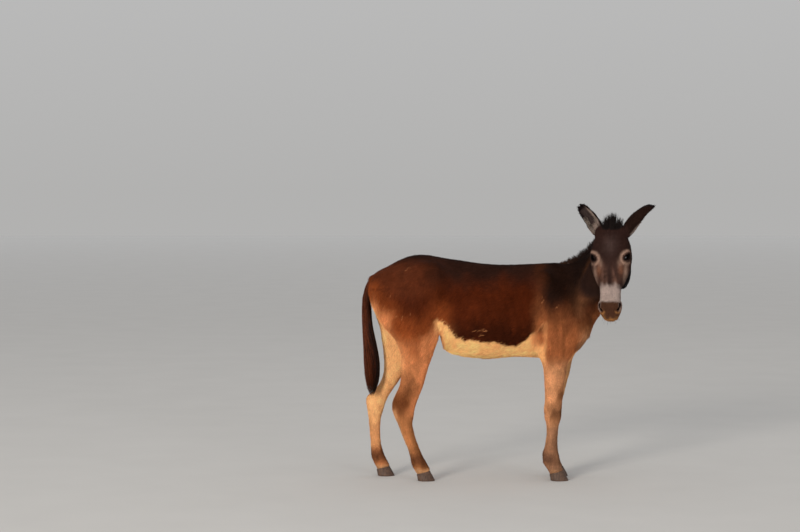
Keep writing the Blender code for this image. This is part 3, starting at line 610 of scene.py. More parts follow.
def coat_depth(p):
    """How far the skin lies under the coat's outer surface."""
    leg_share = rise(p[:, 2], 0.74, 0.60)
    return 0.0055 - 0.0025 * leg_share - 0.0035 * head_share(p) * (1 - leg_share)


def under_coronet(p):
    """How far points of a foot lie below the plane where its hoof meets its leg."""
    under = np.full(len(p), -1.0)
    for _, heel, toe, middle in HOOVES:
        near = (np.abs(p[:, 1] - middle) < 0.055) & (np.abs(p[:, 0] - (heel + toe) / 2) < 0.11)
        height = CORONET_BACK + CORONET_SLOPE * (p[:, 0] - heel)
        under = np.where(near, height - p[:, 2], under)
    return under


def head_share(p):
    """Near 1 on the head and 0 behind it."""
    s, w, n = head_frame(p).T
    along = rise(n + 0.9 * np.maximum(s - 0.08, 0), -0.20, -0.12) * rise(n, -0.29, -0.25)
    return along * rise(s, 0.60, 0.55) * rise(np.abs(w), 0.22, 0.16)


def skin(p):
    """About the signed distance to the bare skin."""
    d = body(p) + coat_depth(p)
    tail = np.minimum(*(rod(p, *TAIL_BONE[i : i + 2], 0.023 - 0.005 * i, 0.018 - 0.006 * i) for i in (0, 1)))
    d = join(d, tail, 0.02)
    near = np.abs(d) < 0.05
    q = p[near]
    found = d[near] + relief(mirrored(q), RELIEF, FURROWS) + ribs(q)
    found += 0.012 * rise(under_coronet(q), -0.001, 0.007)
    on_head = (q[:, 1] < -0.12) & (q[:, 0] > 0.45)
    if on_head.any():
        found[on_head] = face(q[on_head], found[on_head])
    d[near] = found
    return d


def ribs(p):
    """Faint ribs on the barrel."""
    where = rise(p[:, 0], -0.16, -0.06) * rise(p[:, 0], 0.30, 0.22)
    where *= rise(p[:, 2], 1.12, 1.02) * rise(p[:, 2], 0.72, 0.80)
    return 0.0007 * where * np.cos(math.tau * (p[:, 0] + 0.30 * (p[:, 2] - 0.9)) / 0.045)


# ---------------------------------------------------------------- meshing
def zoomed(g):
    """Grid points to body points: steps near the head are shorter."""
    rel = g - ZOOM_CENTRE
    reach = size_of(rel)
    return ZOOM_CENTRE + rel * (1 - HEAD_ZOOM * bell(reach, ZOOM_REACH))[:, None]


def lattice(counts):
    """Every triple of whole numbers below three counts."""
    return np.stack(np.meshgrid(*(np.arange(n) for n in counts), indexing="ij"), -1).reshape(-1, 3)


def surface(field, low, high, cell, block=8):
    """Vertices and quads where the field is zero, sampled only in blocks that the surface may cross."""
    low = np.array(low, float)
    count = np.ceil((np.array(high) - low) / cell / block).astype(int)
    corner = lattice(count)
    middle = low + (corner * block + (block - 1) / 2) * cell
    rough = field(zoomed(middle))
    values = np.repeat(np.repeat(np.repeat(rough.reshape(count), block, 0), block, 1), block, 2)
    values = np.ascontiguousarray(values, np.float32)
    inner = lattice([block] * 3)
    for c in corner[np.abs(rough) < cell * block * 1.25]:
        points = low + (c * block + inner) * cell
        a, b, d = c * block
        values[a : a + block, b : b + block, d : d + block] = field(zoomed(points)).reshape([block] * 3)
    grid = openvdb.FloatGrid(FAR)
    grid.copyFromArray(values)
    points, quads = grid.convertToQuads(0.0)
    return zoomed(points * cell + low), quads


def settle(points, field, rounds=3, step=0.0006, limit=0.006):
    """Points moved along the field's slope on to its zero surface."""
    for _ in range(rounds):
        value = field(points)
        slope = np.stack([field(points + step * axis) - value for axis in np.eye(3)], 1) / step
        size = np.maximum((slope**2).sum(1), 0.05)
        move = slope * (value / size)[:, None]
        points = points - np.clip(move, -limit, limit)
    return points


def fetch(items, key, width, kind=np.float32):
    """One property of each item, in rows of that width."""
    found = np.empty(len(items) * width, kind)
    items.foreach_get(key, found)
    return found.reshape(-1, width)


def mesh_points(mesh):
    return fetch(mesh.vertices, "co", 3).astype(float)


def mesh_normals(mesh):
    return fetch(mesh.vertex_normals, "vector", 3).astype(float)


def map_places(mesh):
    """Each face corner's place on the mesh's map."""
    return fetch(mesh.uv_layers["OFBake"].data, "uv", 2).astype(float)


def triangles_of(mesh):
    """Each triangle's corners as point numbers and as corner numbers."""
    mesh.calc_loop_triangles()
    return [fetch(mesh.loop_triangles, key, 3, np.int32) for key in ("vertices", "loops")]


def add_object(name, data):
    """A new object of the scene that holds the data."""
    obj = bpy.data.objects.new(name, data)
    bpy.context.scene.collection.objects.link(obj)
    return obj


def move_points(mesh, points):
    mesh.vertices.foreach_set("co", points.astype(np.float32).ravel())
    mesh.update()


def settle_piece(obj, material, slot, *stands_for):
    """A piece's material, the body that it rides on and the nodes that it replaces; its slot is not used."""
    obj.data.materials.append(material)
    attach(obj, "root")
    if stands_for:
        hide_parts(*stands_for)


def new_mesh(name, verts, faces):
    """A mesh from arrays of points and of faces that all have the same number of corners."""
    verts, faces = np.asarray(verts, float), np.asarray(faces)
    mesh = bpy.data.meshes.new(name)
    mesh.vertices.add(len(verts))
    mesh.vertices.foreach_set("co", verts.astype(np.float32).ravel())
    mesh.loops.add(faces.size)
    mesh.loops.foreach_set("vertex_index", faces.astype(np.int32).ravel())
    mesh.polygons.add(len(faces))
    mesh.polygons.foreach_set("loop_start", np.arange(0, faces.size, faces.shape[1], dtype=np.int32))
    mesh.update(calc_edges=True)
    mesh.shade_smooth()
    return mesh


def loft_faces(rows, around):
    """Quads between rings of equal point counts, with the numbering of the rings' points."""
    i, j = np.meshgrid(np.arange(rows - 1), np.arange(around), indexing="ij")
    a, b = i * around + j, i * around + (j + 1) % around
    return np.stack((a, b, b + around, a + around), -1).reshape(-1, 4)


def closed_mesh(name, points, faces):
    """A mesh of faces of any number of corners, all turned outwards."""
    work = bmesh.new()
    verts = [work.verts.new(v) for v in points]
    for face in faces:
        work.faces.new([verts[i] for i in face])
    bmesh.ops.recalc_face_normals(work, faces=work.faces)
    mesh = bpy.data.meshes.new(name)
    work.to_mesh(mesh)
    work.free()
    mesh.shade_smooth()
    return mesh


def write_colour(mesh, name, colours):
    """Stores a colour for each point of the mesh."""
    layer = mesh.color_attributes.new(name, "FLOAT_COLOR", "POINT")
    layer.data.foreach_set("color", np.c_[colours, np.ones(len(colours))].astype(np.float32).ravel())


# ---------------------------------------------------------------- ears
EAR_THICKNESS = 0.0045
EAR_BOW = -0.014  # how far an ear's middle bends away from its opening
EAR_ROWS, EAR_COLUMNS = 54, 30
# Along an ear: share of the length, radius of the cup, half angle of the cup in degrees
EAR_FORM = (
    (-0.10, 0.021, 160),
    (0.00, 0.027, 156),
    (0.12, 0.032, 136),
    (0.30, 0.037, 110),
    (0.50, 0.038, 92),
    (0.70, 0.036, 80),
    (0.86, 0.032, 74),
    (0.95, 0.025, 70),
    (1.00, 0.013, 66),
)
# Name, root in the head's frame, tip, the way the cup opens
EARS = (
    ("ear_right", (0.012, -0.062, -0.052), (0.530, -0.160, 1.512), (-0.66, -0.75, 0.0)),
    ("ear_left", (0.018, 0.070, -0.052), (0.938, -0.190, 1.503), (0.60, 0.45, -0.66)),
)
EAR_SKIN = 0.62  # the bare shell's share of the furred ear's thickness
EAR_FILLET = 0.014  # how far round an ear's root the skin is smoothed
EAR_ROOT_REACH = 0.045  # the root's points lie nearer to the ear's line than this
EARS_AT, EARS_REACH = (0.05, 0.12, 0.24), 0.25  # from ZOOM_CENTRE, round both ears' roots
EAR_HALF = 0.03  # half width of an ear


def ear_line(root, tip, opening):
    """An ear's line: its foot, its length as a vector, the way it opens and the way across."""
    base = from_head(root)
    reach = np.array(tip) - base
    along = unit(reach)
    open_way = unit(np.array(opening) - along * np.dot(opening, along))
    across = np.cross(along, open_way)
    return SimpleNamespace(base=base, reach=reach, along=along, open=open_way, across=across)


EAR_LINES = [ear_line(*row[1:]) for row in EARS]


def ear_middle(line, share):
    """Middle of the cup at a share of the ear's length."""
    bow = EAR_BOW * np.sin(np.pi * np.clip(share, 0, 1))
    return line.base + np.multiply.outer(share, line.reach) + np.multiply.outer(bow, line.open)


def ear_shell(line):
    """Rings of points of a cupped leaf with rounded rims, rolled to a tube at its root."""
    turn = np.linspace(-1, 1, EAR_COLUMNS)
    rings = []
    for share, radius, angle in dense(EAR_FORM, EAR_ROWS):
        half = EAR_THICKNESS * EAR_SKIN / 2 * (1 - 0.45 * rise(share, 0.5, 1.0))
        wall = half * np.sqrt(np.clip(1 - (0.96 * np.abs(turn)) ** 8, 0.05, 1))
        wave = 0.0012 * np.sin(9 * turn + 14 * share) * rise(share, 0.2, 0.6)
        a = math.radians(angle) * turn
        middle = ear_middle(line, share)
        way = np.sin(a)[:, None] * line.across - np.cos(a)[:, None] * line.open
        ring_out = middle + (radius + wave + wall)[:, None] * way
        ring_in = middle + (radius + wave - wall)[:, None] * way
        rings.append(np.concatenate((ring_out, ring_in[::-1])))
    return np.array(rings)


def ear_object(name, line):
    """One ear's closed shell, with its root and tip stitched across."""
    rings = ear_shell(line)
    rows, around = rings.shape[:2]
    faces = loft_faces(rows, around).tolist()
    for row in (0, rows - 1):
        for i in range(around // 2 - 1):
            faces.append([row * around + k for k in (i, i + 1, around - 2 - i, around - 1 - i)])
    return add_object(name, closed_mesh(name, rings.reshape(-1, 3), faces))


def ear_place(p):
    """For each point: how far along the nearer ear it lies, that ear's number and the cup's middle there."""
    shares, gaps, middles = [], [], []
    for line in EAR_LINES:
        share = np.clip((p - line.base) @ line.reach / (line.reach @ line.reach), 0, 1)
        middle = ear_middle(line, share)
        shares.append(share)
        middles.append(middle)
        gaps.append(size_of(p - middle))
    which = np.argmin(gaps, axis=0)
    pick = np.arange(len(p))
    return np.array(shares)[which, pick], which, np.array(middles)[which, pick]


# ---------------------------------------------------------------- the skin's mesh
DOMAIN = (-0.80, -1.00, -0.22), (1.30, 0.42, 1.90)  # of the sampling grid
FINE_REACH = 0.036  # round the eyes and the nostrils


def fine_faces(points):
    """Where the skin's mesh is made finer: eyes, nostrils and mouth."""
    q = mirrored(head_frame(points))
    by_eye = size_of(q - EYE_AT - (0, 0.012, 0)) < FINE_REACH
    by_nostril = size_of(q - (0.430, 0.047, -0.028)) < FINE_REACH * 0.8
    by_mouth = (q[:, 0] > 0.385) & (q[:, 0] < 0.52) & (np.abs(q[:, 2] + 0.091) < 0.016)
    return (by_eye | by_nostril | by_mouth) & (q[:, 1] < 0.14)


def refined(mesh, rounds):
    """Splits the edges of the faces that fine_faces picks, and settles the new points."""
    work = bmesh.new()
    work.from_mesh(mesh)
    for _ in range(rounds):
        centres = np.array([f.calc_center_median() for f in work.faces])
        wanted = fine_faces(centres)
        edges = {e for f, ok in zip(work.faces, wanted) if ok for e in f.edges}
        bmesh.ops.subdivide_edges(work, edges=list(edges), cuts=1, use_grid_fill=True)
    bmesh.ops.triangulate(work, faces=[f for f in work.faces if len(f.verts) > 4])
    work.to_mesh(mesh)
    work.free()
    points = mesh_points(mesh)
    near = fine_faces(points)
    points[near] = settle(points[near], skin, rounds=4, step=0.0003, limit=0.0015)
    move_points(mesh, points)


def joined(obj, others):
    """obj united with the others into one surface."""
    for other in others:
        knife = obj.modifiers.new("join", "BOOLEAN")
        knife.operation = "UNION"
        knife.solver = "MANIFOLD"
        knife.object = other
    scene_now = bpy.context.evaluated_depsgraph_get()
    mesh = bpy.data.meshes.new_from_object(obj.evaluated_get(scene_now))
    mesh.materials.clear()
    for old in (obj, *others):
        bpy.data.objects.remove(old)
    return mesh


def fillet_ears(mesh):
    """Smooths the skin where the ears grow out of the head."""
    points = mesh_points(mesh)
    close = size_of(points - ZOOM_CENTRE - EARS_AT) < EARS_REACH
    inside = np.zeros(len(points), bool)
    share, _, middle = ear_place(points[close])
    off = np.abs(skin(points[close]))
    near_root = size_of(points[close] - middle) < EAR_ROOT_REACH
    inside[close] = (off < EAR_FILLET) & near_root & (share > 0)
    work = bmesh.new()
    work.from_mesh(mesh)
    verts = [v for v, ok in zip(work.verts, inside) if ok]
    for _ in range(6):
        bmesh.ops.smooth_vert(work, verts=verts, factor=0.5, **{f"use_axis_{a}": True for a in "xyz"})
    work.to_mesh(mesh)
    work.free()


def skin_mesh():
    """The whole skin as one surface, with the ears grown into it."""
    points, quads = surface(skin, *DOMAIN, CELL)
    mesh = new_mesh("skin", settle(points, skin), quads)
    refined(mesh, 2)
    obj = add_object("skin", mesh)
    mesh = joined(obj, [ear_object(row[0] + "_shell", line) for row, line in zip(EARS, EAR_LINES)])
    fillet_ears(mesh)
    return add_object("skin", mesh)


# ---------------------------------------------------------------- places on the animal
def spots(p, normal):
    """What the markings and the coat's lie need to know of each point of the skin."""
    q = head_frame(p)
    side = np.where(p[:, 1] < 0, -1.0, 1.0)
    at = SimpleNamespace(p=p, normal=normal, x=p[:, 0], y=np.abs(p[:, 1]), z=p[:, 2], side=side)
    at.q = mirrored(q)
    at.s, at.w, at.n = at.q.T
    at.head = head_share(p)
    outside = body(p)
    at.ear = rise(outside, 0.002, 0.008) * (p[:, 2] > 1.30)
    at.ear_share, at.ear_number, middle = ear_place(p)
    at.ear_inside = (((p - middle) * normal).sum(1) < 0) & (at.ear > 0.5)
    open_way = np.array([line.open for line in EAR_LINES])[at.ear_number]
    at.ear_rim = ((p - middle) * open_way).sum(1) / EAR_HALF  # highest along the edges of an ear's opening
    low_rim = np.array([line.across * -np.sign(line.across[2]) for line in EAR_LINES])[at.ear_number]
    at.ear_low = ((p - middle) * low_rim).sum(1) / EAR_HALF  # -1 on an ear's upper rim, 1 on its lower rim
    at.tail = rise(at.x, -0.590, -0.604) * (at.z > 0.76) * (at.y < 0.03)
    at.legs = rise(at.z, 0.72, 0.60) * (1 - at.head)
    at.outer = np.zeros(len(p))  # from -1 on a leg's inner face to 1 on its outer face
    at.front = np.zeros(len(p))  # from -1 on a leg's back edge to 1 on its front edge
    for table, here in (
        (HINDLEG_RIGHT, (at.x < 0) & (side < 0)),
        (HINDLEG_LEFT, (at.x < 0) & (side > 0)),
        (FORELEG_RIGHT, (at.x > 0.2)),
    ):
        back, front, mid, half = columns_at(dense(table), at.z[here])
        at.outer[here] = (at.y[here] - mid) / half
        at.front[here] = (2 * at.x[here] - back - front) / (front - back)
    gap = ((p[:, None, :] - NECK_FRAMES[None, ::2, :3]) ** 2).sum(2)
    ring = NECK_FRAMES[::2][np.argmin(gap, axis=1)]
    at.crest = ((p - ring[:, :3]) * ring[:, 6:9]).sum(1) / ring[:, 12]  # -1 at the throat, 1 at the crest
    at.neck = rise(at.x, 0.46, 0.56) * rise(at.z + 0.25 * at.crest, 0.80, 0.95) * (1 - at.head)
    return at


# ---------------------------------------------------------------- markings
def tone(red, green, blue):
    """A linear colour from a display colour of 0 to 255."""
    c = np.array((red, green, blue)) / 255
    return np.where(c <= 0.04045, c / 12.92, ((c + 0.055) / 1.055) ** 2.4)


BACK = tone(44, 24, 17)
BARREL = tone(74, 29, 10)
BARREL_LOW = tone(50, 19, 7)
CROUP = tone(96, 46, 24)
THIGH = tone(132, 64, 29)
TAN = tone(196, 124, 78)
CREAM = tone(250, 184, 120)
INNER = tone(240, 180, 122)
SHOULDER = tone(72, 37, 20)
CROSS = tone(30, 17, 12)
ARM = tone(158, 92, 54)
FOREARM = tone(204, 142, 98)
NECK_DARK = tone(26, 15, 11)
NECK_LOW = tone(108, 68, 44)
CHEST = tone(176, 124, 86)
FOREHEAD = tone(42, 26, 22)
NOSE = tone(56, 38, 33)
# dark cheek fur, deepened with painted shade
CHEEK_DARK_AND_SHADED = tone(20, 14, 15)
EYE_RING = tone(142, 114, 99)
EYE_RIM = tone(14, 10, 9)
NOSE_BAND = tone(156, 138, 130)
MUZZLE = tone(70, 44, 31)
NOSTRIL_SKIN = tone(20, 13, 12)
CHIN = tone(152, 104, 62)
JAW_SIDE = tone(44, 27, 20)
HOCK = tone(112, 60, 30)
CANNON = tone(180, 116, 71)
FETLOCK = tone(92, 54, 34)
PASTERN = tone(186, 136, 94)
EAR_BACK = tone(34, 20, 15)
EAR_EDGE = tone(20, 13, 12)
EAR_INSIDE = tone(54, 44, 42)
EAR_BASE = tone(140, 122, 112)
TAIL_ROOT = tone(92, 46, 26)

# Lower edge of the dark barrel: x, z
BARREL_EDGE = (
    (-0.250, 0.905), (-0.185, 0.880), (-0.150, 0.830), (-0.122, 0.800), (-0.030, 0.779), (0.074, 0.768),
    (0.175, 0.754), (0.210, 0.758), (0.255, 0.790), (0.310, 0.838), (0.370, 0.900),
)
# Lower edge of the brown haunch and of the dark shoulder: x, z
HAUNCH_EDGE = (
    (-0.620, 1.020), (-0.560, 0.940), (-0.480, 0.830), (-0.400, 0.735), (-0.340, 0.715), (-0.280, 0.790),
    (-0.200, 0.870),
)
SHOULDER_EDGE = (
    (0.310, 0.980), (0.360, 0.900), (0.430, 0.860), (0.520, 0.850), (0.600, 0.880), (0.660, 0.960),
)
# Small pale scars on the right side: x, z, half length, tilt
SCARS = (
    (-0.488, 1.033, 0.006, 1.2),
    (-0.454, 0.920, 0.006, 0.4),
    (-0.423, 0.911, 0.006, 1.3),
    (-0.384, 0.934, 0.004, 0.0),
    (-0.390, 1.172, 0.006, 1.4),
    (0.008, 0.839, 0.036, 0.0),
    (0.017, 0.812, 0.016, 0.0),
    (0.338, 1.011, 0.005, 1.0),
    (0.345, 0.992, 0.004, 2.0),
    (0.425, 0.970, 0.004, 2.5),
)
SCAR_HALF_WIDTH = 0.0024
SCAR_COLOUR = tone(196, 128, 82)
# Blurred patches below the eye, in the head's frame: centre, radii, weight, colour
FACE_PATCHES = (
    ((0.196, 0.050, 0.000), (0.022, 0.012, 0.030), 0.60, EYE_RING),
    ((0.232, 0.080, -0.030), (0.034, 0.010, 0.030), 0.90, EYE_RING),
    ((0.262, 0.072, -0.048), (0.034, 0.009, 0.024), 0.60, EYE_RING),
    ((0.226, 0.058, -0.012), (0.030, 0.014, 0.030), 0.70, tone(120, 78, 58)),
)


def within(paint, share):
    """Paint that covers only that share of each spot."""
    return lambda amount, colour: paint(share * amount, colour)


def trunk_colours(at, paint):
    """Barrel, back, haunch, shoulder and belly, painted over each other in turn."""
    p, x, y, z = at.p, at.x, at.y, at.z
    patch = noise(p, (0.050, 0.05, 0.09), 1)
    fine = noise(p, (0.014, 0.014, 0.030), 2)
    ragged = 0.012 * noise(p, 0.026, 3) + 0.006 * noise(p, (0.007, 0.007, 0.014), 4)
    paint(1, BARREL)
    paint(0.9 * rise(z + 0.03 * patch, 0.94, 0.82), BARREL_LOW)
    paint(rise(z + 0.035 * patch, 1.02, 1.17), BACK)
    paint(0.7 * rise(x, -0.14, -0.36) * rise(z, 0.98, 1.06) * rise(z, 1.24, 1.18), CROUP)
    paint(0.60 * rise(fine + patch, 0.4, 1.3) * rise(z, 1.12, 1.0), 1.45 * BARREL)
    flank = bell(x + 0.205 + 0.02 * patch, 0.045) * rise(z, 1.05, 0.92)
    paint(0.80 * flank, THIGH)
    paint(0.75 * flank * rise(z, 0.90, 0.83), 0.9 * TAN)
    on_haunch = within(paint, rise(x, -0.20, -0.30))
    above = z - edge(HAUNCH_EDGE, x) + 0.05 * patch + 2 * ragged
    on_haunch(0.85 * rise(above, 0.26, 0.05), THIGH)
    on_haunch(rise(above, 0.09, -0.07), TAN)
    rear = rise(x + 0.015 * patch, -0.560, -0.605) * rise(z, 1.13, 1.03)
    on_haunch(0.40 * rear, 0.8 * THIGH)
    dim = bell(x + 0.40, 0.11) * bell(z - 1.04, 0.11) + bell(x + 0.23, 0.05) * bell(z - 1.10, 0.12)
    on_haunch(0.38 * dim * rise(patch + 0.5 * fine, -0.8, 0.9), BACK)
    on_haunch(0.5 * bell(x + 0.385, 0.07) * bell(z - 0.865, 0.06) * rise(patch, -0.9, 0.6), 1.5 * THIGH)
    on_haunch(0.6 * bell(x + 0.53 + 0.4 * (0.87 - z), 0.035) * rise(z, 0.98, 0.90), 1.2 * TAN)
    on_haunch(0.8 * rear * rise(z, 1.03, 0.93), 1.15 * TAN)
    on_shoulder = within(paint, rise(x + 0.02 * patch, 0.27, 0.37))
    on_shoulder(rise(z, 0.70, 0.85), SHOULDER)
    cross = rise(x + 0.012 * patch, 0.325, 0.395) * rise(z + 0.030 * patch + 0.012 * fine, 0.93, 1.04)
    paint(0.95 * cross, CROSS)
    paint(0.55 * cross * rise(fine, 0.3, 1.2) * bell(x - 0.53, 0.09) * rise(z, 1.14, 1.04), 1.3 * SHOULDER)
    below = z - edge(SHOULDER_EDGE, x) + 0.04 * patch + ragged + 0.045 * rise(x, 0.46, 0.56)
    streak = noise(p, (0.016, 0.016, 0.10), 5)
    on_shoulder(rise(below + 0.03 * streak, 0.13, -0.03), 0.62 * ARM)
    on_shoulder(rise(below + 0.04 * streak, 0.02, -0.13), ARM)
    on_shoulder(0.6 * rise(streak, 0.0, 0.9) * rise(z, 1.0, 0.86), 0.55 * ARM)
    pale = bell(x - 0.335 - 0.02 * patch, 0.026) * rise(z, 1.02, 0.86)
    paint(0.45 * pale, 1.15 * ARM)
    belly = rise(z - edge(BARREL_EDGE, x) + ragged, 0.008, -0.008)
    belly *= rise(x + 0.01 * patch, 0.372, 0.335) * rise(x + 0.01 * patch, -0.262, -0.222)
    paint(belly, CREAM)
    paint(belly * rise(x + 0.01 * patch, 0.26, 0.33) * rise(z + 0.01 * patch, 0.73, 0.79), 1.3 * ARM)
    paint(belly * 0.7 * rise(x + 0.01 * patch, 0.27, 0.34) * rise(z + 0.02 * patch, 0.80, 0.86), SHOULDER)
    under = rise(z, 0.74, 0.70) * rise(y, 0.135, 0.10) * rise(x, 0.64, 0.60)
    paint(under * rise(x, -0.30, -0.24), CREAM)
    sheath = bell(x - 0.052, 0.026) * bell(y, 0.024) * rise(z, 0.69, 0.67)
    paint(0.6 * sheath, THIGH)


def neck_colours(at, paint):
    """Dark crest, browner throat and pale chest."""
    p, x, z = at.p, at.x, at.z
    on_neck = within(paint, at.neck)
    streak = noise(p, (0.030, 0.030, 0.10), 6) + 0.6 * noise(p, (0.010, 0.010, 0.05), 7)
    on_neck(1, NECK_DARK)
    on_neck(0.5 * rise(at.crest + 0.2 * streak, 0.5, -0.1), 0.55 * NECK_LOW)
    low = rise(at.crest + 0.35 * streak, 0.05, -0.75)
    on_neck(0.8 * low * rise(z + 0.04 * streak, 1.20, 1.00), NECK_LOW)
    on_neck(0.5 * low * rise(streak, 0.3, 1.2) * rise(z, 1.14, 0.98), 1.6 * NECK_LOW)
    paint(0.6 * bell(x - 0.545, 0.030) * bell(z - 0.950, 0.060) * rise(streak, -1.0, 0.6), 1.3 * NECK_LOW)
    on_neck(0.8 * rise(at.crest + 0.1 * streak, -0.70, -1.0), 0.8 * CHEST)
    chest = rise(x + 0.01 * streak, 0.52, 0.58) * rise(z + 0.03 * streak, 0.90, 0.76)
    paint(chest, CHEST)
    paint(0.6 * chest * rise(streak, 0.2, 1.0), 0.55 * CHEST)


def leg_colours(at, paint):
    """Forelegs from elbow to hoof, then hind legs from thigh to hoof."""
    p, x, y, z = at.p, at.x, at.y, at.z
    blotch = noise(p, (0.030, 0.03, 0.05), 8)
    fine = noise(p, (0.010, 0.010, 0.022), 9)
    fore = x > 0.2
    hind = rise(x, -0.18, -0.24)
    outer = rise(at.outer + 0.35 * blotch, -0.55, 0.35)
    on_leg = within(paint, at.legs * fore)
    on_leg(1, FOREARM)
    on_leg(0.55 * rise(blotch + 0.5 * fine, 0.0, 0.9) * outer, 0.62 * FOREARM)
    # Painted shadow: the front of each foreleg's inner face darkened, as where the far foreleg stands in
    # shade
    on_leg(0.7 * rise(-at.outer, -0.2, 0.3) * rise(at.front, 0.2, 0.7) * rise(y, 0, 0.02), 0.30 * ARM)
    brown = bell(z - 0.475, 0.060) * rise(at.front + 0.3 * blotch, -0.5, 0.6)
    on_leg(0.8 * brown, tone(112, 66, 38))
    knee = bell(z - 0.375, 0.050)
    on_leg(0.9 * knee * rise(at.front + 0.3 * fine, -1.0, 0.0), tone(104, 66, 42))
    on_leg(0.85 * rise(z, 0.33, 0.29), tone(150, 106, 78))
    on_leg(0.6 * rise(z, 0.32, 0.27) * rise(at.front + 0.4 * blotch, -0.4, 0.4), tone(104, 72, 52))
    on_leg(0.85 * bell(z - 0.125, 0.036) * rise(at.front, 0.8, -0.3), tone(92, 62, 48))
    on_leg(0.6 * rise(z, 0.105, 0.085), tone(136, 98, 74))
    on_leg((1 - outer) * 0.7 * rise(z, 0.15, 0.25), INNER)
    chestnut = bell(z - 0.455, 0.022) * bell(at.front, 0.30) * rise(at.outer, -0.6, -0.9)
    on_leg(1.5 * chestnut, tone(34, 26, 24))
    on_leg = within(paint, rise(z, 0.86, 0.74) * hind * (1 - rise(z, 0.64, 0.88) * outer))
    on_leg(1, TAN)
    on_leg(0.75 * outer * bell(at.front - 0.1 + 0.3 * blotch, 0.50) * rise(z, 0.62, 0.74), THIGH)
    on_leg(0.85 * outer * bell(at.front + 0.25 + 0.3 * blotch, 0.50) * rise(z, 0.70, 0.54), 0.50 * TAN)
    on_leg(0.90 * outer * bell(z - 0.440, 0.085) * rise(at.front + 0.3 * blotch, 0.9, -0.1), 0.70 * HOCK)
    on_leg(0.85 * outer * rise(z, 0.39, 0.33), CANNON)
    on_leg(0.80 * outer * rise(z, 0.40, 0.30) * rise(at.front + 0.3 * blotch, -0.1, 0.5), 0.50 * CANNON)
    on_leg(0.80 * rise(z, 0.42, 0.38) * rise(z, 0.10, 0.16) * rise(at.front, -0.45, -0.85), 1.1 * PASTERN)
    on_leg(0.92 * bell(z - 0.125, 0.045), FETLOCK)
    on_leg(0.5 * bell(z - 0.110, 0.050) * rise(fine, 0.0, 0.7), 0.55 * FETLOCK)
    on_leg(rise(z + 0.01 * blotch, 0.080, 0.060), PASTERN)
    inner = (1 - outer) * hind * rise(z, 1.02, 0.92) * rise(z, 0.15, 0.22)
    paint(0.95 * inner * rise(x, -0.16, -0.22), INNER)
    paint(0.60 * inner * rise(z + 0.03 * blotch, 0.36, 0.26), 0.66 * TAN)
    front = rise(at.front + 0.2 * blotch, 0.35, 0.85) * hind * rise(z, 0.86, 0.80) * rise(z, 0.42, 0.52)
    paint(0.8 * front, 1.25 * TAN)
    back = rise(-at.normal[:, 0], 0.30, 0.75) * hind * rise(z, 1.0, 0.93) * rise(z, 0.56, 0.66)
    paint(0.85 * back * rise(y, 0.17, 0.08), INNER)
    paint(0.7 * rise(z, 0.070, 0.055) * rise(fine, -0.4, 0.5), 0.8 * PASTERN)


